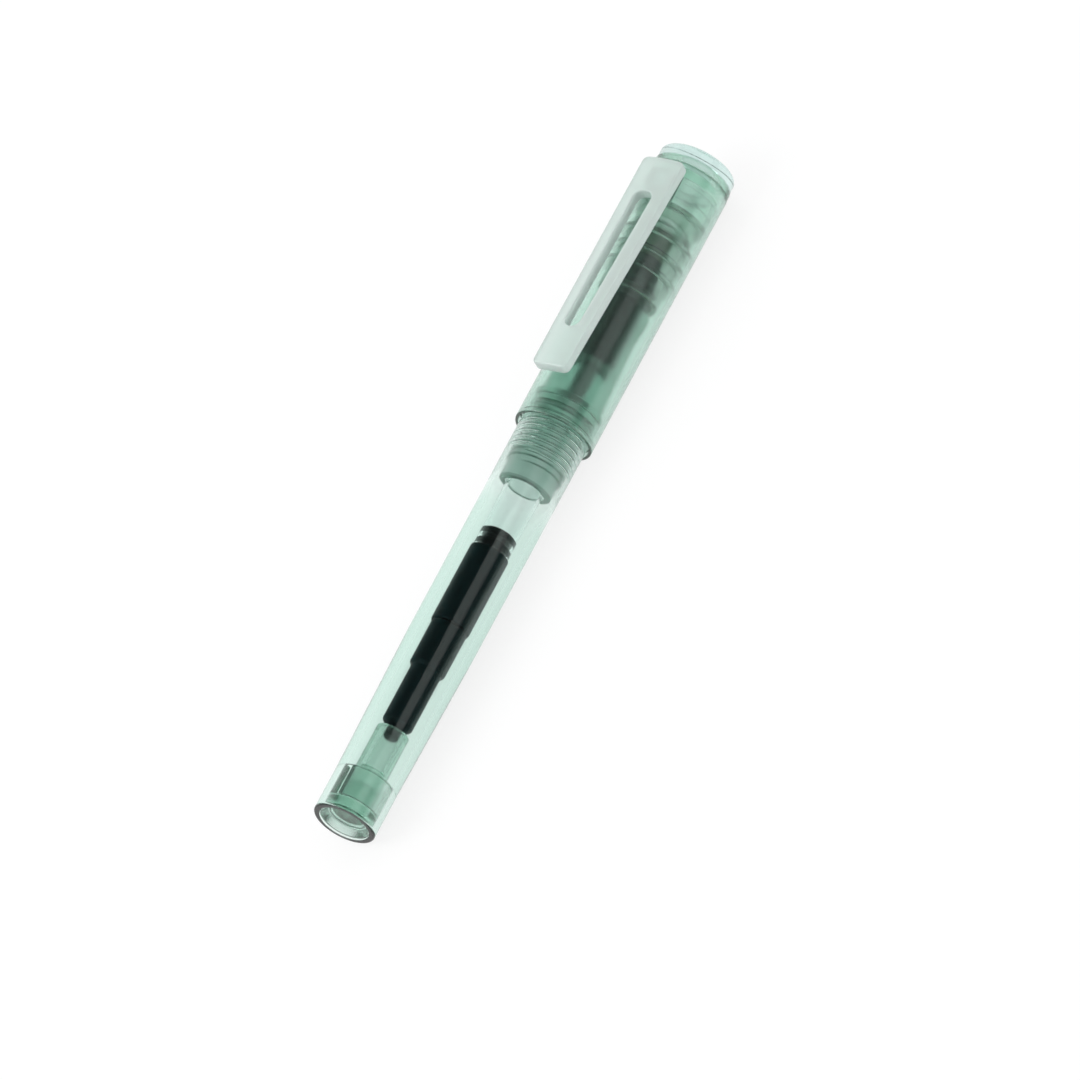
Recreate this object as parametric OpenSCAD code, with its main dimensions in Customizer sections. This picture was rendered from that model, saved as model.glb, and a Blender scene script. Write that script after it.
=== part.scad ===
// Refillable highlighter with a piston converter, lying on its cap with the clip on top.
// Each piece is drawn upright, z running from the tail end to the cap top and the clip on the +x side,
// and lay() then puts it down along X.

/* [Barrel] */
// Length of the barrel, from its tail end to its mouth
barrel_length = 84; // [78:0.5:95]
// Outer diameter of the straight stretch at the tail
barrel_tail_d = 11.1; // [10.8:0.1:11.8]
// Length of the straight stretch at the tail
tail_land_length = 9; // [9:0.5:14]
// Outer diameter where the quick taper ends
barrel_belly_d = 11.96; // [11.7:0.01:12.1]
// Distance from the tail end to where the quick taper ends
barrel_belly_at = 36; // [20:1:50]
// Radius of the rounded rim at the tail end
barrel_rim_round = 0.35; // [0.2:0.05:0.5]
// Thickness of the barrel at its mouth, down to the grip's stem
barrel_wall = 1.38; // [1.2:0.02:1.5]
// Length of the grip's stem inside the barrel mouth
stem_length = 16; // [15:0.5:20]
// Empty bore behind the grip's stem
stem_end_gap = 1.5; // [0.5:0.1:3]
// Length of the cone where the bore widens for the thread
bore_chamfer = 0.3; // [0.1:0.1:0.6]
// Step from the threaded bore out to the O-ring's bore
seal_bore_step = 0.2; // [0.1:0.05:0.3]

/* [Barrel thread] */
// Pitch of the thread between barrel and grip
thread_pitch = 1.2; // [1:0.05:1.4]
// Turns of thread on the grip's stem
stem_thread_turns = 7.5; // [5:0.5:8]
// Turns of thread inside the barrel
barrel_thread_turns = 6.5; // [4:0.5:7]
// Turns of the stem's thread behind the barrel's thread
thread_lag_turns = 1.5; // [1:0.25:2]
// Height of the thread ridges
thread_depth = 0.42; // [0.3:0.02:0.46]
// Width of a thread ridge at its foot
thread_foot_w = 0.6; // [0.4:0.02:0.66]
// Width of a thread ridge at its crest
thread_crest_w = 0.3; // [0.2:0.02:0.4]
// Plain stem between its end and its thread
stem_lead_in = 3.2; // [2.5:0.1:4]
// Wall of the grip's stem under its thread
stem_wall = 1.2; // [1:0.05:1.3]
// Chamfer at the stem's rear end
stem_chamfer = 0.3; // [0.1:0.1:0.6]

/* [Tail plug] */
// Wall of the barrel around the tail plug
tail_wall = 1.05; // [0.8:0.05:1.2]
// Depth that the tail plug fills in the barrel
plug_depth = 8.6; // [7:0.1:9]
// Step in the bore that stops the tail plug
plug_stop_step = 0.25; // [0.1:0.05:0.4]
// Depth of the plug's face inside the rim
plug_inset = 0.3; // [0.1:0.05:0.5]
// Depth of the dish in the plug's face
dish_depth = 1; // [0.5:0.1:1.4]
// Diameter of the dish's flat floor
dish_floor_d = 6.2; // [5:0.1:7]
// Width of the flat edge around the dish
dish_edge_w = 0.28; // [0.2:0.02:0.5]
// Thickness of the plug's end wall, from its face
plug_end_wall = 2.6; // [2:0.1:3]
// Wall of the plug's skirt
plug_skirt_wall = 0.88; // [0.6:0.02:1.1]
// Width of the slot along the plug's skirt
plug_slot_w = 1.6; // [1:0.1:2.5]
// Direction of the skirt's slot, turned from the clip
plug_slot_angle = -14; // [-180:1:180]
// Width and depth of the groove around the plug
plug_groove = 0.3; // [0.2:0.02:0.4]
// Outer diameter of the plug's socket tube
socket_d = 5.8; // [5:0.1:6.2]
// Depth of the socket
socket_depth = 8; // [4:0.5:9]

/* [Cap] */
// Outer diameter of the cap
cap_d = 14; // [13.8:0.1:15]
// Length of the cap tube
cap_length = 52.2; // [51:0.1:60]
// Length of barrel inside the closed cap
cap_overlap = 4.5; // [3:0.1:6]
// Wall of the cap
cap_wall = 0.8; // [0.7:0.02:0.9]
// Radial gap at the lip, between cap and barrel
lip_gap = 0.36; // [0.25:0.01:0.4]
// Depth of the wider bore inside the lip
lip_depth = 1.1; // [0.5:0.1:2]
// Radius of the rounded lip
lip_round = 0.22; // [0.1:0.01:0.26]
// Radius of the rounded top edge
cap_top_round = 0.2; // [0.1:0.01:0.3]

/* [Inner cap] */
// Length of nose seal inside the inner cap's mouth
inner_seal_length = 1.4; // [0.8:0.1:2]
// Step from the sealing bore in to the inner cap's bore
inner_seal_step = 0.2; // [0.1:0.05:0.4]
// Wall at the end of the inner cap's dome
dome_wall = 1; // [0.8:0.1:1.5]
// Wall of the inner cap
inner_cap_wall = 1.15; // [0.8:0.05:1.2]
// Width of the ring ribs
inner_rib_w = 0.7; // [0.4:0.05:1]
// Distance from the inner cap's top to its highest rib
inner_rib_drop = 6; // [4:0.1:7]
// Distance between two ribs
inner_rib_step = 3.3; // [2.5:0.1:3.6]
// Thickness of the top flange
inner_flange_t = 0.8; // [0.5:0.05:1.2]
// Depth of the sealing bore inside the mouth
inner_mouth_depth = 2.6; // [1.5:0.1:3]

/* [Cap top] */
// Length of the plug's skirt inside the cap
top_skirt_length = 7.4; // [6.8:0.1:8]
// Thickness of the plug's flange
top_flange_t = 1.3; // [0.8:0.1:2]
// Step from the cap's edge in to the plug's flange
top_flange_step = 0.08; // [0.02:0.02:0.2]
// Thickness of the plug's end wall
top_end_wall = 3.2; // [2.5:0.1:3.4]
// Wall of the plug's skirt
top_skirt_wall = 1.15; // [0.8:0.05:1.3]
// Height of the skirt's ring ribs
top_rib_h = 0.13; // [0.08:0.01:0.2]
// Width of the skirt's ring ribs
top_rib_w = 0.5; // [0.3:0.05:0.8]
// Distance from the skirt's end to its first rib
top_rib_at = 1.6; // [1:0.1:2.5]
// Distance between the skirt's ribs
top_rib_step = 2.4; // [1.5:0.1:3]
// Thickness of the clear disc
disc_t = 2.3; // [1:0.1:4]
// Step from the cap's edge in to the disc
disc_step = 0.22; // [0.1:0.02:0.6]
// Radius of the disc's rounded edge
disc_round = 0.5; // [0.2:0.05:0.8]
// Radius of the disc's edge on the flange
disc_foot_round = 0.15; // [0.05:0.05:0.3]
// Diameter of the disc's spigot
spigot_d = 6; // [3:0.5:8]
// Depth of the disc's spigot
spigot_depth = 1; // [0.5:0.1:2]

/* [Clip] */
// Length of the clip
clip_length = 43.6; // [36:0.1:46]
// Distance from the clip's top to the top of the cap tube
clip_drop = 1.5; // [0.5:0.1:2]
// Width of the clip at its top
clip_top_w = 8.2; // [7.2:0.1:9]
// Width of the clip at its free end
clip_end_w = 6.7; // [5.5:0.1:8]
// Thickness of the clip in its middle
clip_t = 2.1; // [1.6:0.1:2.6]
// Radius of the clip's crowned face
clip_crown_r = 19; // [14:1:40]
// Gap between the clip's top and the cap
clip_root_gap = 0.25; // [0.2:0.01:0.5]
// Gap between the clip's free end and the cap
clip_end_gap = 1.5; // [1:0.1:3]
// Radius of the clip's corners
clip_corner_r = 1; // [0.5:0.1:2]
// Distance from the clip's top to its slot
slot_from_top = 7; // [6.5:0.1:9]
// Length of the slot in the clip
slot_length = 28.4; // [20:0.1:28.4]
// Width of the slot at its top
slot_top_w = 3.5; // [2.5:0.1:4]
// Width of the slot at its lower end
slot_end_w = 2.8; // [2:0.1:3.4]
// Flat between the round corners at the slot's lower end
slot_end_flat = 0.02; // [0.02:0.02:1]
// Length of the clip's foot in the cap window
foot_length = 3.2; // [2.6:0.1:3.4]
// Width of the clip's foot
foot_w = 3.8; // [3:0.1:4]
// Distance from the clip's top to the middle of its foot
foot_at = 3; // [2.8:0.1:3.2]
// Length that the foot's head adds at each end
foot_head_lip = 0.6; // [0.4:0.05:0.7]
// Thickness of the foot's head
foot_head_t = 0.65; // [0.5:0.05:0.8]

/* [Grip] */
// Thickness of the grip's flange
grip_flange_t = 1.2; // [0.8:0.1:2]
// Diameter of the grip behind
grip_rear_d = 11; // [10:0.1:11.4]
// Diameter of the grip's waist
grip_waist_d = 9.5; // [9.4:0.1:10.2]
// Distance from the waist to the grip's front
grip_waist_at = 6; // [4:0.5:8]
// Diameter of the grip's front bead
grip_bead_d = 10; // [9.8:0.1:10.4]
// Distance from the bead's rear edge to the grip's front
grip_bead_at = 2; // [1.5:0.1:3]
// Width of the bead
grip_bead_w = 1; // [0.5:0.1:1.4]
// Length of the seal land behind the flange
seal_land = 2.2; // [1.8:0.1:2.6]
// Thickness of the O-ring
o_ring_d = 0.84; // [0.7:0.02:0.9]
// Depth of the O-ring's groove under the land
groove_depth = 0.8; // [0.7:0.02:0.85]
// Distance from the seal bore's start to the groove
groove_at = 0.15; // [0.1:0.05:0.4]
// Thickness of the wall behind the groove
groove_wall_t = 0.6; // [0.4:0.1:1]
// Height of the wall behind the groove
groove_wall_h = 0.24; // [0.1:0.02:0.4]
// Thickness of the nose seal
nose_seal_t = 2.6; // [2:0.1:3]
// Outer diameter of the nose seal
nose_seal_d = 8.6; // [8.5:0.05:8.8]
// Step from the grip's front edge in to the nose seal
nose_seal_step = 0.2; // [0.1:0.05:0.4]

/* [Tip] */
// Diameter of the felt tip
felt_d = 4.9; // [4:0.1:5]
// Length of felt outside the holder
felt_out = 6.9; // [5:0.1:7]
// Length of felt inside the holder
felt_in = 11; // [8:0.1:11]
// Thickness of the chisel edge
chisel_t = 1.6; // [1:0.1:2.5]
// Distance that the chisel edge slants back
chisel_slant = 2.6; // [1:0.1:3.5]
// Round felt in front of the holder
chisel_from = 0.6; // [0.2:0.1:1.5]
// Width of the chisel's flat corner
chisel_flat = 0.4; // [0:0.1:1]
// Gap between the felt and the inner cap's dome
tip_room = 1; // [0.6:0.1:3]
// Length of the holder's nose cone
nose_length = 5.4; // [4.4:0.1:8]
// Diameter of the nose cone at its front
nose_front_d = 5.5; // [5.4:0.1:6.2]
// Diameter of the nose cone behind
nose_rear_d = 7.7; // [7.4:0.1:7.9]
// Length of the holder's spigot inside the grip
holder_spigot = 5.1; // [3.6:0.1:6]
// Thickness of the holder's flange
holder_flange_t = 1; // [0.6:0.1:1.4]
// Step from the flange in to the nose cone
holder_flange_step = 0.3; // [0.1:0.05:0.5]
// Distance between the two rings on the nose cone
nose_ring_step = 1.3; // [0.8:0.1:1.8]
// Height of the rings on the nose cone
nose_ring_h = 0.1; // [0.05:0.05:0.2]

/* [Ink feed] */
// Diameter of the ink collector
collector_d = 7.16; // [6.9:0.02:7.2]
// Length of the collector behind the tip holder
collector_length = 11.3; // [8:0.1:14]
// Fins on the collector
collector_fins = 7; // [3:1:9]
// Thickness of a fin
fin_t = 0.6; // [0.4:0.05:0.8]
// Diameter of the collector's core
collector_core_d = 4.4; // [3.6:0.1:5]
// Thickness of the collector's base
collector_base_t = 1; // [0.6:0.1:1.5]
// Diameter of the wick
wick_d = 2; // [1.6:0.1:2.2]
// Outer diameter of the nipple that enters the converter
nipple_d = 3.2; // [3:0.1:3.6]
// Length of the nipple
nipple_length = 6; // [4:0.1:6.2]

/* [Converter] */
// Outer diameter of the ink tube
tube_d = 6.4; // [6.2:0.05:6.6]
// Wall of the ink tube
tube_wall = 0.45; // [0.35:0.01:0.5]
// Length of the ink tube
tube_length = 42.6; // [42:0.1:43]
// Length of the mouth wall at the tube's front
mouth_length = 6.4; // [6.2:0.1:7]
// Length of tube inside the collar
tube_in_collar = 4.8; // [4:0.1:5.2]
// Outer diameter of the collar
collar_d = 6.9; // [6.8:0.05:7.4]
// Length of the collar
collar_length = 15.1; // [14.5:0.1:16]
// Diameter of the knob's grip
knob_d = 6.4; // [6.2:0.1:6.8]
// Length of the knob's grip
knob_grip_length = 8.2; // [6:0.1:10]
// Diameter of the knob's rear
knob_rear_d = 5.4; // [5:0.1:5.8]
// Length of the knob's shoulder
knob_shoulder = 0.5; // [0.3:0.1:1]
// Length of the knob's rear
knob_rear_length = 10.8; // [10:0.1:11.2]
// Length of the knob's rear cone
knob_cone = 1.3; // [1:0.1:1.6]
// Diameter of the knob's stub
stub_d = 2.66; // [2:0.02:2.7]
// Length of the knob's stub
stub_length = 1.7; // [1:0.1:2]
// Chamfer at the knob's edges
knob_chamfer = 0.2; // [0.1:0.05:0.3]
// Wall between the knob's rear and the rod's bore
knob_end_wall = 0.3; // [0.2:0.1:1]

/* [Piston] */
// Length of the piston's seal
seal_length = 3.7; // [3:0.1:4]
// Diameter of the rod's core inside the seal
seal_core_d = 3; // [2:0.1:3.6]
// Thickness of the seal's front wall
seal_end_wall = 0.6; // [0.4:0.1:1]
// Chamfer at the seal's front edge
seal_chamfer = 0.3; // [0.1:0.05:0.5]
// Gap between the collar and the piston at rest
seal_gap = 0.3; // [0.2:0.05:0.6]
// Height of the seal's two lips
seal_lip_h = 0.3; // [0.2:0.02:0.5]
// Width of the seal's lips
seal_lip_w = 0.8; // [0.4:0.05:1]
// Lead of the rod's screw, for each turn of the knob
screw_lead = 4; // [3.6:0.1:4.4]
// Diameter of the rod's core
rod_core_d = 2; // [1.8:0.05:2.1]
// Outer diameter of the rod's teeth
rod_tooth_d = 2.7; // [2.5:0.05:2.75]
// Thickness of the rod across its flats
rod_flat_t = 1.5; // [1.3:0.05:1.6]
// Thickness of the rod's head behind the seal
rod_head_t = 0.5; // [0.4:0.1:1]
// Step from the tube's bore in to the rod's head
rod_head_step = 0.4; // [0.2:0.1:0.6]
// Width of a screw ridge at its foot
tooth_foot_w = 0.8; // [0.5:0.05:0.9]
// Width of a screw ridge at its crest
tooth_crest_w = 0.45; // [0.3:0.05:0.55]
// Outer diameter of the knob's sleeve
sleeve_d = 4; // [3.9:0.05:4.2]
// Diameter of the sleeve's catch ring
catch_d = 4.8; // [4.6:0.05:5]
// Thickness of the sleeve's catch ring
catch_t = 1.4; // [1:0.1:1.6]
// Length of the screw ridge in the sleeve
nut_length = 3.2; // [2.4:0.1:3.4]
// Thickness of the rod's guide
guide_t = 2.6; // [2:0.1:3]

/* [Clearances] */
// Radial gap of pieces pressed or glued together
seat_gap = 0.02; // [0.01:0.01:0.04]
// Radial gap of pieces that turn or slide in a bore
run_gap = 0.05; // [0.03:0.01:0.08]
// Radial gap between cap and barrel
cap_gap = 0.12; // [0.08:0.01:0.16]
// Radial gap between thread crests and the wall facing them
thread_gap = 0.14; // [0.1:0.01:0.18]
// Gap around the clip's foot
foot_gap = 0.2; // [0.18:0.01:0.3]
// Gap between the knob and the collar
knob_gap = 0.2; // [0.1:0.05:0.4]
// Gap around the rod's flats in its guide
guide_gap = 0.15; // [0.1:0.01:0.2]
// Gap behind the rod in the knob
rod_end_gap = 0.3; // [0.2:0.1:1]
// Gap around the knob's stub in its socket
stub_gap = 0.2; // [0.1:0.05:0.3]
// Gap between the knob's cone and the socket's mouth
socket_gap = 0.4; // [0.2:0.1:1]

/* [Hidden] */
$fn = 96;

// How far a ridge sinks into the wall that carries it
bite = 0.12;
// How far a cutting shape passes the face that it opens
past = 1;
// How far it passes a face that has another wall close behind
near_past = 0.2;
// Segments of a screw ridge in one turn
turn_segments = 24;

// Radii of the cap and barrel
cap_r = cap_d / 2;
cap_bore_r = cap_r - cap_wall;
barrel_mouth_r = cap_bore_r - cap_gap;
barrel_tail_r = barrel_tail_d / 2;
barrel_belly_r = barrel_belly_d / 2;

// Heights along the pen, from the tail end
lip_z = barrel_length - cap_overlap;
cap_top_z = lip_z + cap_length;
overall_length = cap_top_z + top_flange_t + disc_t;
stem_z = barrel_length - stem_length;
bore_step_z = stem_z - stem_end_gap;
stem_thread_z = stem_z + stem_lead_in;

// Radii of the barrel's thread, from the bore behind it outwards
barrel_bore_r = barrel_mouth_r - barrel_wall;
stem_r = barrel_bore_r;
stem_crest_r = stem_r + thread_depth;
thread_bore_r = stem_crest_r + thread_gap;
barrel_crest_r = stem_r + thread_gap;
tail_bore_r = barrel_tail_r - tail_wall;
barrel_rear_bore_r = tail_bore_r - plug_stop_step;
seal_bore_r = thread_bore_r + seal_bore_step;
seal_bore_z = barrel_length - seal_land;
barrel_thread_z = stem_thread_z + thread_lag_turns * thread_pitch;

// O-ring groove in the grip's stem
land_r = seal_bore_r - 2 * run_gap;
groove_r = land_r - groove_depth;
groove_w = o_ring_d + 4 * run_gap;
o_ring_mid_r = (groove_r + seal_bore_r) / 2;
o_ring_r = min(o_ring_d, seal_bore_r - groove_r - run_gap) / 2;
groove_z = seal_bore_z + groove_at;
groove_wall_z = groove_z - groove_wall_t;
groove_wall_r = stem_r + groove_wall_h;

// Tip and grip, back from the room that the cap leaves for them
top_skirt_z = cap_top_z - top_skirt_length;
dome_end_z = top_skirt_z - dome_wall;
felt_end_z = dome_end_z - tip_room;
nose_tip_z = felt_end_z - felt_out;
felt_base_z = nose_tip_z - felt_in;
nose_base_z = nose_tip_z - nose_length;
nose_z = nose_base_z - holder_flange_t;
spigot_start_z = nose_z - holder_spigot;
grip_front_z = nose_z - nose_seal_t;
feed_z = spigot_start_z - collector_length;
nipple_z = feed_z - nipple_length;

// Radii in the grip
grip_bore_r = stem_r - stem_wall;
feed_bore_r = collector_d / 2 + seat_gap;
nipple_r = nipple_d / 2;
wick_r = wick_d / 2;

// Converter, from its mouth back to the knob's stub
tube_r = tube_d / 2;
tube_bore_r = tube_r - tube_wall;
tube_front_z = feed_z;
tube_rear_z = tube_front_z - tube_length;
collar_front_z = tube_rear_z + tube_in_collar;
collar_rear_z = collar_front_z - collar_length;
knob_front_z = collar_rear_z - knob_gap;
knob_step_z = knob_front_z - knob_grip_length;
knob_rear_z = knob_step_z - knob_shoulder - knob_rear_length;
stub_z = knob_rear_z - knob_cone;
socket_top = stub_z - socket_gap;

// Piston and its screw
seal_rear_z = collar_front_z + seal_gap;
seal_front_z = seal_rear_z + seal_length;
rod_bore_z = knob_rear_z + knob_end_wall;
rod_rear_z = rod_bore_z + rod_end_gap;
rod_core_r = rod_core_d / 2;
rod_tooth_r = rod_tooth_d / 2;
sleeve_bore_r = rod_tooth_r + thread_gap;
nut_crest_r = rod_core_r + 2 * run_gap;
sleeve_front_z = tube_rear_z - knob_gap;
screw_pitch = screw_lead / 2;
guide_r = tube_bore_r - seat_gap;
seal_core_r = seal_core_d / 2;
seal_core_z = seal_front_z - seal_end_wall;

// Cap contents
inner_mouth_z = nose_z - inner_seal_length;
inner_mouth_r = nose_seal_d / 2 + run_gap;
inner_bore_r = inner_mouth_r - inner_seal_step;
fitted_r = cap_bore_r - seat_gap;
top_skirt_r = fitted_r - top_rib_h;
disc_r = cap_r - disc_step;

// Clip
clip_top_z = cap_top_z - clip_drop;
clip_slope = atan((clip_end_gap - clip_root_gap) / clip_length);
foot_z = clip_top_z - foot_at;
window_w = foot_w + 2 * foot_gap;
window_length = foot_length + 2 * foot_gap;
head_length = foot_length + 2 * foot_head_lip;
head_top_r = sqrt(pow(cap_bore_r, 2) - pow(foot_w / 2, 2)) - foot_gap;

// Lays a piece down: its z becomes X and its +x side turns up.
module lay() {
  translate([-overall_length / 2, 0, cap_r]) rotate([180, -90, 0]) children();
}

// A turned solid: points are [radius, height].
module turned(points) {
  rotate_extrude() polygon(points);
}

// A plain ring or tube.
module tube(outer_r, inner_r, low_z, high_z) {
  translate([0, 0, low_z]) difference() {
    cylinder(r = outer_r, h = high_z - low_z);
    translate([0, 0, -past]) cylinder(r = inner_r, h = high_z - low_z + 2 * past);
  }
}

// Points of a rounded corner: centre, radius and the two angles of its arc.
function arc(centre_r, centre_z, radius, from_angle, to_angle, steps = 6) = [
  for (i = [0:steps])
    let (a = from_angle + (to_angle - from_angle) * i / steps)
      [centre_r + radius * cos(a), centre_z + radius * sin(a)]
];

// One cross-section of a screw ridge at an angle, its foot first.
function ridge_ring(foot_r, crest_r, foot_w, crest_w, lead, angle, rise) =
  let (
    z = lead * angle / 360,
    top_r = foot_r + (crest_r - foot_r) * rise,
    section = [
      [foot_r, z - foot_w / 2],
      [top_r, z - crest_w / 2],
      [top_r, z + crest_w / 2],
      [foot_r, z + foot_w / 2],
    ]
  )
    [for (p = section) [p[0] * cos(angle), p[0] * sin(angle), p[1]]];

// A screw ridge from one angle to another. It stands outwards where crest_r is the larger radius,
// and inwards where foot_r is. run_out is the angle over which its ends rise.
module ridge(foot_r, crest_r, foot_w, crest_w, lead, from_angle, to_angle, run_out = 40) {
  count = ceil((to_angle - from_angle) * turn_segments / 360);
  low_rise = abs(bite / (crest_r - foot_r)) * 0.8;
  rings = [
    for (i = [0:count])
      let (
        angle = from_angle + (to_angle - from_angle) * i / count,
        from_end = min(angle - from_angle, to_angle - angle),
        rise = run_out == 0 ? 1 : min(1, low_rise + (1 - low_rise) * from_end / run_out)
      )
        ridge_ring(foot_r, crest_r, foot_w, crest_w, lead, angle, rise)
  ];
  points = [for (ring = rings) each ring];
  sides = [
    for (i = [0:count - 1], j = [0:3])
      let (a = 4 * i + j, b = 4 * i + (j + 1) % 4)
        each [[a, b, b + 4], [a, b + 4, a + 4]]
  ];
  last = 4 * count;
  ends = [[3, 2, 1], [3, 1, 0], [last, last + 1, last + 2], [last, last + 2, last + 3]];
  faces = concat(sides, ends);
  outward = crest_r > foot_r;
  polyhedron(points, outward ? faces : [for (f = faces) [f[2], f[1], f[0]]]);
}

// Barrel: a tapered tube, a seat for the tail plug behind and a thread inside its mouth.
module barrel() {
  color([0.8, 0.9, 0.86, 0.5]) lay() {
    difference() {
      turned(concat(
        [[0, 0]],
        arc(barrel_tail_r - barrel_rim_round, barrel_rim_round, barrel_rim_round, -90, 0),
        [
          [barrel_tail_r, tail_land_length],
          [barrel_belly_r, barrel_belly_at],
          [barrel_mouth_r, barrel_length],
          [0, barrel_length],
        ]
      ));
      turned([
        [0, -past],
        [tail_bore_r, -past],
        [tail_bore_r, plug_depth],
        [barrel_rear_bore_r, plug_depth],
        [barrel_bore_r, bore_step_z],
        [thread_bore_r, bore_step_z + bore_chamfer],
        [thread_bore_r, seal_bore_z - seal_bore_step],
        [seal_bore_r, seal_bore_z],
        [seal_bore_r, barrel_length + past],
        [0, barrel_length + past],
      ]);
    }
    translate([0, 0, barrel_thread_z])
      ridge(
        thread_bore_r + bite, barrel_crest_r, thread_foot_w, thread_crest_w,
        thread_pitch, 0, 360 * barrel_thread_turns
      );
  }
}

// Tail plug: dished end, slotted skirt and a socket tube for the converter's stub.
module tail_plug() {
  plug_r = tail_bore_r - seat_gap;
  dish_r = plug_r - dish_edge_w;
  skirt_z = plug_inset + plug_end_wall;
  socket_r = stub_d / 2 + stub_gap;
  color([0.7, 0.87, 0.8, 0.6]) lay() {
    difference() {
      turned([
        [0, plug_inset + dish_depth],
        [dish_floor_d / 2, plug_inset + dish_depth],
        [dish_r, plug_inset],
        [plug_r, plug_inset],
        [plug_r, skirt_z - plug_groove],
        [plug_r - plug_groove, skirt_z - plug_groove],
        [plug_r - plug_groove, skirt_z],
        [plug_r, skirt_z],
        [plug_r, plug_depth],
        [plug_r - plug_skirt_wall, plug_depth],
        [plug_r - plug_skirt_wall, skirt_z],
        [socket_d / 2, skirt_z],
        [socket_d / 2, socket_top],
        [socket_r, socket_top],
        [socket_r, socket_top - socket_depth],
        [0, socket_top - socket_depth],
      ]);
      rotate([0, 0, plug_slot_angle])
        translate([plug_r - plug_skirt_wall - near_past, -plug_slot_w / 2, skirt_z])
          cube([plug_skirt_wall + past, plug_slot_w, plug_depth]);
    }
  }
}

// O-ring between the grip's stem and the barrel's mouth.
module section_o_ring() {
  color([0.1, 0.12, 0.12]) lay()
    translate([0, 0, groove_z + groove_w / 2])
      rotate_extrude() translate([o_ring_mid_r, 0]) circle(r = o_ring_r, $fn = 32);
}

// Grip section: threaded stem, seal land, flange and waisted grip.
module section() {
  color([0.65, 0.85, 0.76, 0.6]) lay() {
    difference() {
      turned([
        [0, stem_z],
        [stem_r - stem_chamfer, stem_z],
        [stem_r, stem_z + stem_chamfer],
        [stem_r, groove_wall_z],
        [groove_wall_r, groove_wall_z],
        [groove_wall_r, groove_z],
        [groove_r, groove_z],
        [groove_r, groove_z + groove_w],
        [land_r, groove_z + groove_w],
        [land_r, barrel_length],
        [barrel_mouth_r - run_gap, barrel_length],
        [barrel_mouth_r - run_gap, barrel_length + grip_flange_t],
        [grip_rear_d / 2, barrel_length + grip_flange_t],
        [grip_waist_d / 2, grip_front_z - grip_waist_at],
        [grip_bead_d / 2, grip_front_z - grip_bead_at],
        [grip_bead_d / 2, grip_front_z - grip_bead_at + grip_bead_w],
        [nose_seal_d / 2 + nose_seal_step, grip_front_z],
        [0, grip_front_z],
      ]);
      translate([0, 0, stem_z - past]) cylinder(r = grip_bore_r, h = feed_z - stem_z + past);
      translate([0, 0, feed_z]) cylinder(r = feed_bore_r, h = grip_front_z - feed_z + past);
    }
    translate([0, 0, stem_thread_z])
      ridge(
        stem_r - bite, stem_crest_r, thread_foot_w, thread_crest_w,
        thread_pitch, 0, 360 * stem_thread_turns
      );
  }
}

// Nose seal: the seat that the inner cap closes on.
module nose_seal() {
  color([0.75, 0.82, 0.8, 0.7]) lay()
    tube(nose_seal_d / 2, collector_d / 2 + seat_gap, grip_front_z, nose_z);
}

// Tip holder: spigot in the grip, flange on the nose seal and a stepped nose cone.
module tip_holder() {
  spigot_r = collector_d / 2;
  front_r = nose_front_d / 2;
  ring_z = nose_tip_z - 2 * nose_ring_step;
  rear_r = nose_rear_d / 2 - holder_flange_step;
  ring_r = front_r + (rear_r - front_r) * (nose_tip_z - ring_z) / nose_length;
  color([0.08, 0.16, 0.17]) lay() difference() {
    turned([
      [0, spigot_start_z],
      [spigot_r, spigot_start_z],
      [spigot_r, nose_z],
      [nose_rear_d / 2, nose_z],
      [nose_rear_d / 2, nose_base_z],
      [rear_r, nose_base_z],
      [ring_r, ring_z],
      [ring_r - nose_ring_h, ring_z],
      [front_r, ring_z + nose_ring_step],
      [front_r - nose_ring_h, ring_z + nose_ring_step],
      [front_r - nose_ring_h, nose_tip_z],
      [0, nose_tip_z],
    ]);
    translate([0, 0, spigot_start_z - past])
      cylinder(r = felt_d / 2 + seat_gap, h = nose_tip_z - spigot_start_z + 2 * past);
  }
}

// Felt tip: a round rod ending in a slanted chisel.
module felt_tip() {
  felt_r = felt_d / 2;
  chisel_z = nose_tip_z + chisel_from;
  color([0.78, 0.86, 0.3]) lay() intersection() {
    translate([0, 0, felt_base_z]) cylinder(r = felt_r, h = felt_end_z - felt_base_z);
    rotate([90, 0, 0]) translate([0, 0, -felt_r - past]) linear_extrude(2 * (felt_r + past))
      polygon([
        [-felt_r - past, felt_base_z - past],
        [felt_r + past, felt_base_z - past],
        [felt_r + past, chisel_z],
        [felt_r, chisel_z],
        [chisel_t / 2, felt_end_z],
        [-chisel_t / 2, felt_end_z],
        [-felt_r, chisel_z],
        [-felt_r - past, chisel_z],
      ]);
    rotate([90, 0, 90]) translate([0, 0, -felt_r - past]) linear_extrude(2 * (felt_r + past))
      polygon([
        [-felt_r - past, felt_base_z - past],
        [felt_r + past, felt_base_z - past],
        [felt_r + past, felt_end_z - chisel_slant],
        [-felt_r + chisel_flat, felt_end_z + past],
        [-felt_r - past, felt_end_z + past],
      ]);
  }
}

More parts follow.
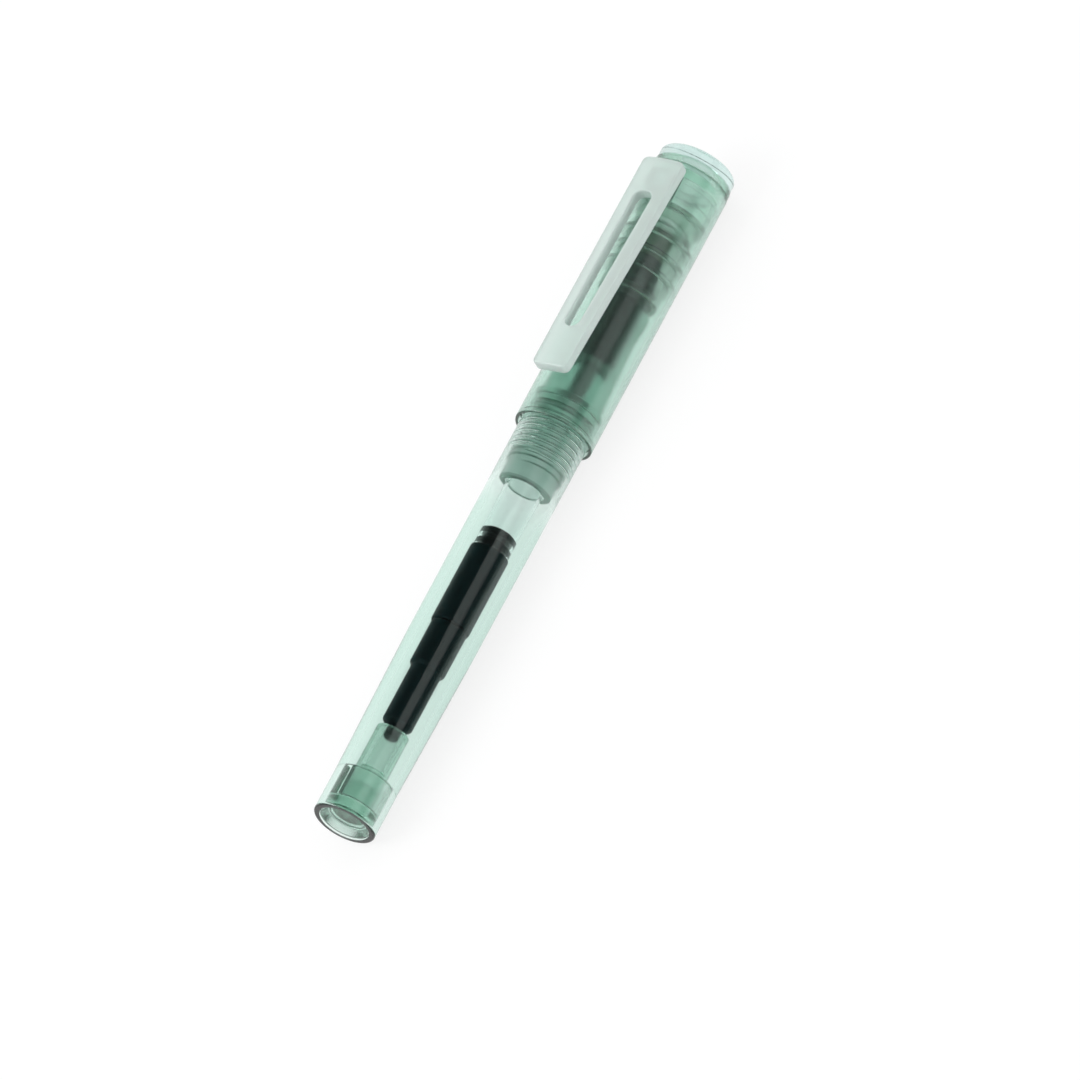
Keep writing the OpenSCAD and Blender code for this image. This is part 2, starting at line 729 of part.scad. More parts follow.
// Ink collector: finned core in the grip, with the nipple that enters the converter.
module ink_collector() {
  fin_z = feed_z + collector_base_t;
  fin_step = (spigot_start_z - fin_z) / collector_fins;
  color([0.06, 0.13, 0.14]) lay() difference() {
    union() {
      translate([0, 0, feed_z]) cylinder(r = collector_d / 2, h = collector_base_t);
      translate([0, 0, feed_z]) cylinder(r = collector_core_d / 2, h = spigot_start_z - feed_z);
      for (i = [1:collector_fins])
        translate([0, 0, fin_z + fin_step * i - fin_t]) cylinder(r = collector_d / 2, h = fin_t);
      translate([0, 0, nipple_z]) cylinder(r = nipple_r, h = nipple_length + collector_base_t / 2);
    }
    translate([0, 0, nipple_z - past])
      cylinder(r = wick_r + seat_gap, h = spigot_start_z - nipple_z + 2 * past);
  }
}

// Wick: fibre rod from the nipple's end to the felt tip.
module ink_wick() {
  color([0.85, 0.85, 0.8]) lay()
    translate([0, 0, nipple_z]) cylinder(r = wick_r, h = felt_base_z - nipple_z);
}

// Converter tube: clear ink tube, closed in front but for its mouth.
module converter_tube() {
  color([0.85, 0.93, 0.9, 0.4]) lay() difference() {
    translate([0, 0, tube_rear_z]) cylinder(r = tube_r, h = tube_length);
    translate([0, 0, tube_rear_z - past])
      cylinder(r = tube_bore_r, h = tube_length - mouth_length + past);
    translate([0, 0, tube_front_z - mouth_length - past])
      cylinder(r = nipple_r + seat_gap, h = mouth_length + 2 * past);
  }
}

// Converter collar: holds the tube in front and the knob's sleeve behind.
module converter_collar() {
  catch_z = sleeve_front_z - catch_t - knob_gap;
  color([0.05, 0.11, 0.12]) lay() difference() {
    translate([0, 0, collar_rear_z]) cylinder(r = collar_d / 2, h = collar_length);
    translate([0, 0, collar_rear_z - past])
      cylinder(r = sleeve_d / 2 + run_gap, h = collar_length + 2 * past);
    translate([0, 0, catch_z]) cylinder(r = catch_d / 2 + run_gap, h = collar_front_z - catch_z + past);
    translate([0, 0, tube_rear_z]) cylinder(r = tube_r + seat_gap, h = tube_in_collar + past);
  }
}

// Rod guide: plug in the tube's rear with a flat-sided hole.
module rod_guide() {
  color([0.15, 0.2, 0.2]) lay() difference() {
    translate([0, 0, tube_rear_z]) cylinder(r = guide_r, h = guide_t);
    intersection() {
      translate([0, 0, tube_rear_z - past])
        cylinder(r = rod_tooth_r + guide_gap, h = guide_t + 2 * past);
      cube([rod_flat_t + 2 * guide_gap, 2 * rod_tooth_d, 2 * overall_length], center = true);
    }
  }
}

// Knob: stepped grip and stub behind, screw sleeve with its catch ring in front.
module knob() {
  catch_z = sleeve_front_z - catch_t;
  color([0.05, 0.1, 0.11]) lay() {
    difference() {
      turned([
        [0, stub_z - stub_length],
        [stub_d / 2 - knob_chamfer, stub_z - stub_length],
        [stub_d / 2, stub_z - stub_length + knob_chamfer],
        [stub_d / 2, stub_z],
        [knob_rear_d / 2 - knob_chamfer, knob_rear_z],
        [knob_rear_d / 2, knob_rear_z + knob_chamfer],
        [knob_rear_d / 2, knob_step_z - knob_shoulder],
        [knob_d / 2, knob_step_z],
        [knob_d / 2, knob_front_z],
        [sleeve_d / 2, knob_front_z],
        [sleeve_d / 2, catch_z],
        [catch_d / 2, catch_z],
        [sleeve_d / 2, sleeve_front_z],
        [0, sleeve_front_z],
      ]);
      translate([0, 0, rod_bore_z])
        cylinder(r = sleeve_bore_r, h = sleeve_front_z - rod_bore_z + past);
    }
    for (start = [0, 180])
      rotate([0, 0, start])
        translate([0, 0, sleeve_front_z - nut_length])
          ridge(
            sleeve_bore_r + bite, nut_crest_r, tooth_foot_w, tooth_crest_w,
            screw_lead, 0, 360 * (nut_length - tooth_foot_w) / screw_lead
          );
  }
}

// Piston rod: a bar with two flats, screw teeth on its round sides and a head for the seal.
module piston_rod() {
  teeth_z = sleeve_front_z - nut_length + screw_pitch / 2;
  tooth_half = asin(rod_flat_t / 2 / rod_tooth_r);
  rows_back = floor((teeth_z - rod_rear_z) / screw_pitch) - 1;
  head_z = seal_rear_z - rod_head_t;
  color([0.2, 0.25, 0.25]) lay() {
    intersection() {
      translate([0, 0, rod_rear_z]) cylinder(r = rod_core_r, h = seal_rear_z - rod_rear_z);
      cube([rod_flat_t, 2 * rod_tooth_d, 2 * overall_length], center = true);
    }
    for (row = [-rows_back:1], side = [90, 270])
      translate([0, 0, teeth_z + screw_pitch * row - screw_lead * (side - 90) / 360])
        ridge(
          rod_core_r - bite, rod_tooth_r, tooth_foot_w, tooth_crest_w,
          screw_lead, side - tooth_half, side + tooth_half, 0
        );
    translate([0, 0, head_z]) cylinder(r = guide_r - rod_head_step, h = rod_head_t);
    translate([0, 0, head_z]) cylinder(r = seal_core_r, h = seal_core_z - head_z);
  }
}

// Piston seal: soft cup with two lips that wipe the tube.
module piston_seal() {
  lip_r = tube_bore_r - run_gap;
  waist_r = lip_r - seal_lip_h;
  color([0.04, 0.09, 0.1]) lay() difference() {
    turned([
      [0, seal_rear_z],
      [lip_r, seal_rear_z],
      [lip_r, seal_rear_z + seal_lip_w],
      [waist_r, seal_rear_z + seal_lip_w + seal_lip_h],
      [waist_r, seal_front_z - seal_lip_w - seal_lip_h],
      [lip_r, seal_front_z - seal_lip_w],
      [lip_r, seal_front_z - seal_chamfer],
      [lip_r - seal_chamfer, seal_front_z],
      [0, seal_front_z],
    ]);
    translate([0, 0, seal_rear_z - past])
      cylinder(r = seal_core_r + seat_gap, h = seal_core_z - seal_rear_z + past);
  }
}

// Cap shell: plain tube with a wider lip and a window for the clip's foot.
module cap_shell() {
  lip_bore_r = barrel_mouth_r + lip_gap;
  color([0.45, 0.68, 0.57, 0.8]) lay() difference() {
    turned(concat(
      [[cap_bore_r - past, lip_z]],
      arc(cap_r - lip_round, lip_z + lip_round, lip_round, -90, 0),
      arc(cap_r - cap_top_round, cap_top_z - cap_top_round, cap_top_round, 0, 90),
      [[cap_bore_r - past, cap_top_z]]
    ));
    translate([0, 0, lip_z - past]) cylinder(r = cap_bore_r, h = cap_length + 2 * past);
    translate([0, 0, lip_z - past]) cylinder(r = lip_bore_r, h = lip_depth + past);
    translate([cap_bore_r - past, -window_w / 2, foot_z - window_length / 2])
      cube([cap_wall + 2 * past, window_w, window_length]);
  }
}

// Inner cap: sleeve with ring ribs, sealing mouth and domed end.
module inner_cap() {
  sleeve_r = inner_bore_r + inner_cap_wall;
  dome_z = dome_end_z - inner_bore_r;
  color([0.72, 0.78, 0.74, 0.7]) lay() difference() {
    union() {
      translate([0, 0, inner_mouth_z]) cylinder(r = sleeve_r, h = top_skirt_z - inner_mouth_z);
      translate([0, 0, top_skirt_z - inner_flange_t]) cylinder(r = fitted_r, h = inner_flange_t);
      for (i = [0:2])
        translate([0, 0, top_skirt_z - inner_rib_drop - inner_rib_step * i])
          cylinder(r = fitted_r, h = inner_rib_w);
    }
    translate([0, 0, inner_mouth_z - past]) cylinder(r = inner_mouth_r, h = inner_mouth_depth + past);
    turned(concat(
      [[0, inner_mouth_z], [inner_bore_r, inner_mouth_z]],
      arc(0, dome_z, inner_bore_r, 0, 90, 12)
    ));
  }
}

// Cap top plug: flange, end wall and ribbed skirt that locks the clip's foot.
module cap_top_plug() {
  skirt_bore_r = top_skirt_r - top_skirt_wall;
  color([0.6, 0.8, 0.7, 0.7]) lay() difference() {
    union() {
      translate([0, 0, top_skirt_z]) cylinder(r = top_skirt_r, h = top_skirt_length);
      for (i = [0:1])
        translate([0, 0, top_skirt_z + top_rib_at + top_rib_step * i])
          cylinder(r = fitted_r, h = top_rib_w);
      translate([0, 0, cap_top_z]) cylinder(r = cap_r - top_flange_step, h = top_flange_t);
    }
    translate([0, 0, top_skirt_z - past])
      cylinder(r = skirt_bore_r, h = top_skirt_length + top_flange_t - top_end_wall + past);
    translate([0, 0, cap_top_z + top_flange_t - spigot_depth])
      cylinder(r = spigot_d / 2, h = spigot_depth + past);
    translate([skirt_bore_r - past, -window_w / 2, foot_z - head_length / 2 - foot_gap])
      cube([top_skirt_wall + 2 * past, window_w, head_length + 2 * foot_gap]);
  }
}

// Finial disc: clear disc with a rounded edge and a spigot.
module finial_disc() {
  disc_z = cap_top_z + top_flange_t;
  spigot_r = spigot_d / 2 - seat_gap;
  color([0.95, 0.98, 0.97, 0.5]) lay()
    turned(concat(
      [
        [0, disc_z - spigot_depth],
        [spigot_r, disc_z - spigot_depth],
        [spigot_r, disc_z],
      ],
      arc(disc_r - disc_foot_round, disc_z + disc_foot_round, disc_foot_round, -90, 0),
      arc(disc_r - disc_round, disc_z + disc_t - disc_round, disc_round, 0, 90),
      [[0, disc_z + disc_t]]
    ));
}

// Outline of a tapered plate with rounded corners: x is its length, y its width.
module tapered_plate(length, first_w, last_w, corner_r) {
  difference() {
    polygon([[0, -first_w / 2], [length, -last_w / 2], [length, last_w / 2], [0, first_w / 2]]);
    for (end = [[0, first_w, 1], [length, last_w, -1]], side = [-1, 1])
      translate([end[0], side * end[1] / 2]) square(2 * corner_r, center = true);
  }
  for (end = [[0, first_w, 1], [length, last_w, -1]], side = [-1, 1])
    translate([end[0] + end[2] * corner_r, side * (end[1] / 2 - corner_r)]) circle(r = corner_r);
}

// Clip: crowned, tapered plate with a long slot, and a foot with a head that locks in the cap.
module clip() {
  slot_corner_r = (slot_end_w - slot_end_flat) / 2;
  color([0.78, 0.9, 0.86, 0.9]) lay() {
    translate([cap_r + clip_root_gap, 0, clip_top_z]) rotate([0, 90 - clip_slope, 0])
      intersection() {
        difference() {
          linear_extrude(clip_t) tapered_plate(clip_length, clip_top_w, clip_end_w, clip_corner_r);
          translate([slot_from_top, 0, -past]) linear_extrude(clip_t + 2 * past)
            tapered_plate(slot_length, slot_top_w, slot_end_w, slot_corner_r);
        }
        translate([-past, 0, clip_t - clip_crown_r]) rotate([0, 90, 0])
          cylinder(r = clip_crown_r, h = clip_length + 2 * past, $fn = 192);
      }
    translate([head_top_r - foot_head_t, -foot_w / 2, foot_z - head_length / 2])
      cube([foot_head_t, foot_w, head_length]);
    translate([head_top_r - foot_head_t, -foot_w / 2, foot_z - foot_length / 2])
      cube([cap_r + clip_root_gap + clip_t / 2 - head_top_r + foot_head_t, foot_w, foot_length]);
  }
}

barrel();
tail_plug();
section_o_ring();
section();
nose_seal();
tip_holder();
felt_tip();
ink_collector();
ink_wick();
converter_tube();
converter_collar();
rod_guide();
knob();
piston_rod();
piston_seal();
cap_shell();
inner_cap();
cap_top_plug();
finial_disc();
clip();
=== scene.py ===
import math
import bmesh
import bpy
from mathutils import Matrix, Vector


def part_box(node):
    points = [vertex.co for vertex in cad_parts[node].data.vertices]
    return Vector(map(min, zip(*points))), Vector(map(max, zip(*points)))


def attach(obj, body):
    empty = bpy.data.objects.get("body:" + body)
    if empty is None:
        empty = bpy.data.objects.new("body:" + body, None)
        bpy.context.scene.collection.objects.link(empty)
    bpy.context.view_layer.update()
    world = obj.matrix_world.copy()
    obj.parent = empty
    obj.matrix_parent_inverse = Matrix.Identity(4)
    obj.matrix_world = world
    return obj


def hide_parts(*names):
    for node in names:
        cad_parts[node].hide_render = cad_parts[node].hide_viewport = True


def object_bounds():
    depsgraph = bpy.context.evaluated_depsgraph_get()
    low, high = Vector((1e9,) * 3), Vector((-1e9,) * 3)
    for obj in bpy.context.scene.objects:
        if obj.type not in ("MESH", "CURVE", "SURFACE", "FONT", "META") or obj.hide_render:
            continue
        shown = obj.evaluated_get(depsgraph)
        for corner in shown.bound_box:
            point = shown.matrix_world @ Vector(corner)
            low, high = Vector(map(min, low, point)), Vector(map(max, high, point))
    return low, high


# Refillable highlighter, cap on, lying with its clip up.
# Places along the pen are in millimetres from the tail end, radii in millimetres from its axis.

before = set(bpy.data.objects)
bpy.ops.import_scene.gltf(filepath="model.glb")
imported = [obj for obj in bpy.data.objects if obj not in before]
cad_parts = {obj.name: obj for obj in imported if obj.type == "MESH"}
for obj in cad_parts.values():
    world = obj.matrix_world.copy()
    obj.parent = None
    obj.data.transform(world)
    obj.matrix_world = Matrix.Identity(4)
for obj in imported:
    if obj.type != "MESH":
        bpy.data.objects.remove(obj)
cadLow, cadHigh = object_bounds()
mm = 0.001
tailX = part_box("barrel")[0].x
capLow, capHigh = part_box("cap_shell")
axisZ = (capLow.z + capHigh.z) / 2
scene = bpy.context.scene
fullTurn = 2 * math.pi
airGap = 0.03  # left between clear faces that meet
onAxis = 1e-6
# corners flatter than straight stay sharp; supports stand near the ends of stretches over supportFrom
outlineLook = dict(
    straight=math.radians(172), arcStep=math.radians(22), arcShare=0.42, support=0.05, supportFrom=0.35)


# turn 0 is up, at the clip
def spot(along, radius, turn=0.0):
    across = -radius * math.sin(turn)
    up = radius * math.cos(turn)
    return Vector((tailX + along * mm, across * mm, axisZ + up * mm))


def span(node):
    low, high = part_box(node)
    return (low.x - tailX) / mm, (high.x - tailX) / mm


def outerRadius(node):
    low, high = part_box(node)
    return (high.y - low.y) / 2 / mm


# mesh helpers

def unit(a, b):
    length = math.hypot(b[0] - a[0], b[1] - a[1])
    return (b[0] - a[0]) / length, (b[1] - a[1]) / length, length


# the arc that takes a corner's place, as a list of points
def roundedCorner(before, corner, after, radius):
    ax, ay, aLen = unit(corner, before)
    bx, by, bLen = unit(corner, after)
    cosine = max(-1.0, min(1.0, ax * bx + ay * by))
    opening = math.acos(cosine)
    if radius <= 0 or opening > outlineLook["straight"]:
        return [(corner[0], corner[1])]
    cutBack = radius / math.tan(opening / 2)
    limit = outlineLook["arcShare"] * min(aLen, bLen)
    if cutBack > limit:
        radius *= limit / cutBack
        cutBack = limit
    middle = radius / math.sin(opening / 2)
    mx, my, _ = unit((0, 0), (ax + bx, ay + by))
    centre = (corner[0] + mx * middle, corner[1] + my * middle)
    start = (corner[0] + ax * cutBack, corner[1] + ay * cutBack)
    end = (corner[0] + bx * cutBack, corner[1] + by * cutBack)
    first = math.atan2(start[1] - centre[1], start[0] - centre[0])
    last = math.atan2(end[1] - centre[1], end[0] - centre[0])
    sweep = (last - first + math.pi) % fullTurn - math.pi
    steps = max(2, math.ceil(abs(sweep) / outlineLook["arcStep"]))
    return [
        (centre[0] + radius * math.cos(first + sweep * i / steps),
         centre[1] + radius * math.sin(first + sweep * i / steps))
        for i in range(steps + 1)
    ]


# rounds the corners, and puts a support point near both ends of each straight
def roundedOutline(outline, fillet):
    stretches = []
    count = len(outline)
    for i, point in enumerate(outline):
        radius = point[2] if len(point) > 2 else fillet
        if point[1] < onAxis:
            radius = 0
        stretches.append(roundedCorner(outline[i - 1], point, outline[(i + 1) % count], radius))
    points = []
    for i, arc in enumerate(stretches):
        points += arc
        here, there = arc[-1], stretches[(i + 1) % count][0]
        gap = math.hypot(there[0] - here[0], there[1] - here[1])
        if gap > outlineLook["supportFrom"]:
            ux, uy, _ = unit(here, there)
            near = min(outlineLook["support"], gap / 5)
            points.append((here[0] + ux * near, here[1] + uy * near))
            points.append((there[0] - ux * near, there[1] - uy * near))
    return points


def addTurned(bm, outline, segments, fillet):
    rings = []
    for along, radius in roundedOutline(outline, fillet):
        if radius < onAxis:
            rings.append([bm.verts.new(spot(along, 0))])
        else:
            rings.append([
                bm.verts.new(spot(along, radius, fullTurn * i / segments)) for i in range(segments)])
    for a, b in zip(rings, rings[1:] + rings[:1]):
        for i in range(segments):
            j = (i + 1) % segments
            if len(a) > 1 and len(b) > 1:
                bm.faces.new((a[i], a[j], b[j], b[i]))
            elif len(a) > 1:
                bm.faces.new((a[i], a[j], b[0]))
            elif len(b) > 1:
                bm.faces.new((a[0], b[j], b[i]))


def finishMesh(name, bm, sharpAngle=40):
    bmesh.ops.recalc_face_normals(bm, faces=bm.faces)
    mesh = bpy.data.meshes.new(name)
    bm.to_mesh(mesh)
    bm.free()
    obj = bpy.data.objects.new(name, mesh)
    scene.collection.objects.link(obj)
    shadeSmooth(obj, sharpAngle)
    return obj


def shadeSmooth(obj, sharpAngle=40):
    obj.data.shade_smooth()
    obj.data.set_sharp_from_angle(angle=math.radians(sharpAngle))


# one mesh of closed outlines turned about the pen's axis
def turnedPiece(name, *outlines, segments=128, fillet=0.05):
    bm = bmesh.new()
    for outline in outlines:
        addTurned(bm, outline, segments, fillet)
    return finishMesh(name, bm)


# a block that stands out from the axis
def blockPiece(name, alongFrom, alongTo, radiusFrom, radiusTo, width, turn=0.0):
    bm = bmesh.new()
    bmesh.ops.create_cube(bm, size=1)
    size = Vector(((alongTo - alongFrom) * mm, width * mm, (radiusTo - radiusFrom) * mm))
    middle = Vector((tailX + (alongFrom + alongTo) / 2 * mm, 0, (radiusFrom + radiusTo) / 2 * mm))
    bm.transform(Matrix.Translation(middle) @ Matrix.Diagonal(size.to_4d()))
    bm.transform(Matrix.Translation((0, 0, axisZ)) @ Matrix.Rotation(turn, 4, "X"))
    return finishMesh(name, bm)


# turns what the modifiers make into the object's own mesh
def settle(obj):
    depsgraph = bpy.context.evaluated_depsgraph_get()
    made = bpy.data.meshes.new_from_object(
        obj.evaluated_get(depsgraph), preserve_all_data_layers=True, depsgraph=depsgraph)
    obj.modifiers.clear()
    obj.data = made
    made.name = obj.name


def combine(obj, other, operation="DIFFERENCE"):
    modifier = obj.modifiers.new("combine", "BOOLEAN")
    modifier.operation = operation
    modifier.solver = "EXACT"
    modifier.object = other
    settle(obj)
    bpy.data.objects.remove(other)
    shadeSmooth(obj)


# node helpers

# a Math node; a value is a number or another node's output
def calc(tree, operation, *values, clamp=False):
    node = tree.nodes.new("ShaderNodeMath")
    node.operation = operation
    node.use_clamp = clamp
    for socket, value in zip(node.inputs, values):
        if isinstance(value, (int, float)):
            socket.default_value = value
        else:
            tree.links.new(value, socket)
    return node.outputs[0]


# inputs and outputs are (name, socket type, value) and (name, socket type)
def newGroup(name, kind, inputs, outputs):
    tree = bpy.data.node_groups.new(name, kind)
    for label, socketType, value in inputs:
        socket = tree.interface.new_socket(name=label, in_out="INPUT", socket_type=socketType)
        if value is not None:
            socket.default_value = value
    for label, socketType in outputs:
        tree.interface.new_socket(name=label, in_out="OUTPUT", socket_type=socketType)
    return tree, tree.nodes.new("NodeGroupInput").outputs, tree.nodes.new("NodeGroupOutput").inputs


def runNodes(obj, tree, values):
    modifier = obj.modifiers.new(tree.name, "NODES")
    modifier.node_group = tree
    for item in tree.interface.items_tree:
        if item.item_type == "SOCKET" and item.in_out == "INPUT" and item.name in values:
            modifier[item.identifier] = values[item.name]
    settle(obj)


# raises a screw ridge on the rings that lie at the root radius
def screwThread():
    tree, given, out = newGroup("screw_thread", "GeometryNodeTree", [
        ("Geometry", "NodeSocketGeometry", None),
        ("Start", "NodeSocketFloat", 0.0),
        ("Root", "NodeSocketFloat", 0.005),
        ("Height", "NodeSocketFloat", 0.0004),
        ("Pitch", "NodeSocketFloat", 0.0012),
        ("Turns", "NodeSocketFloat", 6.0),
        ("Foot", "NodeSocketFloat", 0.0005),
        ("Crest", "NodeSocketFloat", 0.0003),
        ("Run out", "NodeSocketFloat", 0.12),
        ("Axis height", "NodeSocketFloat", 0.007),
        ("Material", "NodeSocketMaterial", None),
    ], [("Geometry", "NodeSocketGeometry")])
    position = tree.nodes.new("GeometryNodeInputPosition").outputs[0]
    axes = tree.nodes.new("ShaderNodeSeparateXYZ")
    tree.links.new(position, axes.inputs[0])
    up = calc(tree, "SUBTRACT", axes.outputs[2], given["Axis height"])
    across = calc(tree, "MULTIPLY", axes.outputs[1], -1.0)
    squares = calc(tree, "MULTIPLY", up, up), calc(tree, "MULTIPLY", across, across)
    radius = calc(tree, "SQRT", calc(tree, "ADD", *squares))
    turn = calc(tree, "DIVIDE", calc(tree, "ARCTAN2", across, up), fullTurn)
    # how many pitches past the ridge's start, counted along the helix
    along = calc(tree, "DIVIDE", calc(tree, "SUBTRACT", axes.outputs[0], given["Start"]), given["Pitch"])
    count = calc(tree, "SUBTRACT", along, turn)
    nearest = calc(tree, "ROUND", count)
    off = calc(tree, "ABSOLUTE", calc(tree, "SUBTRACT", count, nearest))
    aside = calc(tree, "MULTIPLY", off, given["Pitch"])
    progress = calc(tree, "ADD", nearest, turn)
    toEnd = calc(tree, "MINIMUM", progress, calc(tree, "SUBTRACT", given["Turns"], progress))
    rise = calc(tree, "DIVIDE", toEnd, given["Run out"], clamp=True)
    halfFoot = calc(tree, "MULTIPLY", given["Foot"], 0.5)
    flank = calc(tree, "MULTIPLY", calc(tree, "SUBTRACT", given["Foot"], given["Crest"]), 0.5)
    ridge = calc(tree, "DIVIDE", calc(tree, "SUBTRACT", halfFoot, aside), flank, clamp=True)
    lift = calc(tree, "MULTIPLY", calc(tree, "MULTIPLY", ridge, rise), given["Height"])
    outward = tree.nodes.new("ShaderNodeCombineXYZ")
    tree.links.new(calc(tree, "DIVIDE", axes.outputs[1], radius), outward.inputs[1])
    tree.links.new(calc(tree, "DIVIDE", up, radius), outward.inputs[2])
    offset = tree.nodes.new("ShaderNodeVectorMath")
    offset.operation = "SCALE"
    tree.links.new(outward.outputs[0], offset.inputs[0])
    tree.links.new(lift, offset.inputs["Scale"])
    atRoot = calc(tree, "COMPARE", radius, given["Root"], 0.02 * mm)
    move = tree.nodes.new("GeometryNodeSetPosition")
    tree.links.new(given["Geometry"], move.inputs["Geometry"])
    tree.links.new(atRoot, move.inputs["Selection"])
    tree.links.new(offset.outputs[0], move.inputs["Offset"])
    closeTree(tree, move.outputs[0], given, out)
    return tree


def closeTree(tree, geometry, given, out):
    realize = tree.nodes.new("GeometryNodeRealizeInstances")
    paint = tree.nodes.new("GeometryNodeSetMaterial")
    tree.links.new(geometry, realize.inputs[0])
    tree.links.new(realize.outputs[0], paint.inputs["Geometry"])
    tree.links.new(given["Material"], paint.inputs["Material"])
    tree.links.new(paint.outputs[0], out["Geometry"])


# copies of a piece in a row along the pen
def rowAlong():
    tree, given, out = newGroup("row_along", "GeometryNodeTree", [
        ("Geometry", "NodeSocketGeometry", None),
        ("Count", "NodeSocketInt", 6),
        ("Step", "NodeSocketFloat", 0.001),
        ("Material", "NodeSocketMaterial", None),
    ], [("Geometry", "NodeSocketGeometry")])
    step = tree.nodes.new("ShaderNodeCombineXYZ")
    tree.links.new(given["Step"], step.inputs[0])
    row = tree.nodes.new("GeometryNodeMeshLine")
    tree.links.new(given["Count"], row.inputs["Count"])
    tree.links.new(step.outputs[0], row.inputs["Offset"])
    copies = tree.nodes.new("GeometryNodeInstanceOnPoints")
    tree.links.new(row.outputs[0], copies.inputs["Points"])
    tree.links.new(given["Geometry"], copies.inputs["Instance"])
    closeTree(tree, copies.outputs[0], given, out)
    return tree


# shared surface effects

# roughness that drifts over the surface, and the fine skin of a moulding
def mouldedSkin():
    tree, given, out = newGroup("moulded_skin", "ShaderNodeTree", [
        ("Roughness", "NodeSocketFloat", 0.3),
        ("Drift", "NodeSocketFloat", 0.05),
        ("Grain size", "NodeSocketFloat", 0.00025),
    ], [("Roughness", "NodeSocketFloat"), ("Height", "NodeSocketFloat")])
    place = tree.nodes.new("ShaderNodeTexCoord")
    broad = tree.nodes.new("ShaderNodeTexNoise")
    broad.inputs["Scale"].default_value = 260.0
    broad.inputs["Detail"].default_value = 3.0
    tree.links.new(place.outputs["Object"], broad.inputs["Vector"])
    grain = tree.nodes.new("ShaderNodeTexNoise")
    grain.inputs["Detail"].default_value = 2.0
    tree.links.new(place.outputs["Object"], grain.inputs["Vector"])
    tree.links.new(calc(tree, "DIVIDE", 1.0, given["Grain size"]), grain.inputs["Scale"])
    shift = calc(tree, "MULTIPLY", calc(tree, "SUBTRACT", broad.outputs[0], 0.5), given["Drift"])
    tree.links.new(calc(tree, "ADD", given["Roughness"], shift, clamp=True), out["Roughness"])
    tree.links.new(grain.outputs[0], out["Height"])
    return tree


# the slight change of colour along the flow of the moulding
def flowTint():
    tree, given, out = newGroup("flow_tint", "ShaderNodeTree", [
        ("Color", "NodeSocketColor", (1, 1, 1, 1)),
        ("Second", "NodeSocketColor", (1, 1, 1, 1)),
        ("Amount", "NodeSocketFloat", 0.5),
    ], [("Color", "NodeSocketColor")])
    place = tree.nodes.new("ShaderNodeTexCoord")
    stretch = tree.nodes.new("ShaderNodeMapping")
    stretch.inputs["Scale"].default_value = (0.25, 1.0, 1.0)
    tree.links.new(place.outputs["Object"], stretch.inputs["Vector"])
    flow = tree.nodes.new("ShaderNodeTexNoise")
    flow.inputs["Scale"].default_value = 190.0
    flow.inputs["Detail"].default_value = 2.0
    tree.links.new(stretch.outputs[0], flow.inputs["Vector"])
    blend = tree.nodes.new("ShaderNodeMix")
    blend.data_type = "RGBA"
    share = calc(tree, "MULTIPLY", flow.outputs[0], given["Amount"], clamp=True)
    tree.links.new(share, blend.inputs["Factor"])
    tree.links.new(given["Color"], blend.inputs[6])
    tree.links.new(given["Second"], blend.inputs[7])
    tree.links.new(blend.outputs[2], out["Color"])
    return tree


# a mask of hairline scratches that run mostly along the pen
def fineScratches():
    tree, given, out = newGroup("fine_scratches", "ShaderNodeTree", [
        ("Spacing", "NodeSocketFloat", 0.0006),
        ("Strength", "NodeSocketFloat", 0.05),
    ], [("Mask", "NodeSocketFloat")])
    place = tree.nodes.new("ShaderNodeTexCoord")
    stretch = tree.nodes.new("ShaderNodeMapping")
    stretch.inputs["Scale"].default_value = (0.04, 1.0, 1.0)
    stretch.inputs["Rotation"].default_value = (0.0, 0.06, 0.09)
    tree.links.new(place.outputs["Object"], stretch.inputs["Vector"])
    lines = tree.nodes.new("ShaderNodeTexNoise")
    lines.inputs["Detail"].default_value = 4.0
    tree.links.new(stretch.outputs[0], lines.inputs["Vector"])
    tree.links.new(calc(tree, "DIVIDE", 1.0, given["Spacing"]), lines.inputs["Scale"])
    thin = calc(tree, "MULTIPLY", calc(tree, "SUBTRACT", lines.outputs[0], 0.62), 9.0, clamp=True)
    tree.links.new(calc(tree, "MULTIPLY", thin, given["Strength"]), out["Mask"])
    return tree


skinGroup = mouldedSkin()
tintGroup = flowTint()
scratchGroup = fineScratches()


def placeGroup(tree, group, values):
    node = tree.nodes.new("ShaderNodeGroup")
    node.node_tree = group
    for label, value in values.items():
        node.inputs[label].default_value = value
    return node.outputs


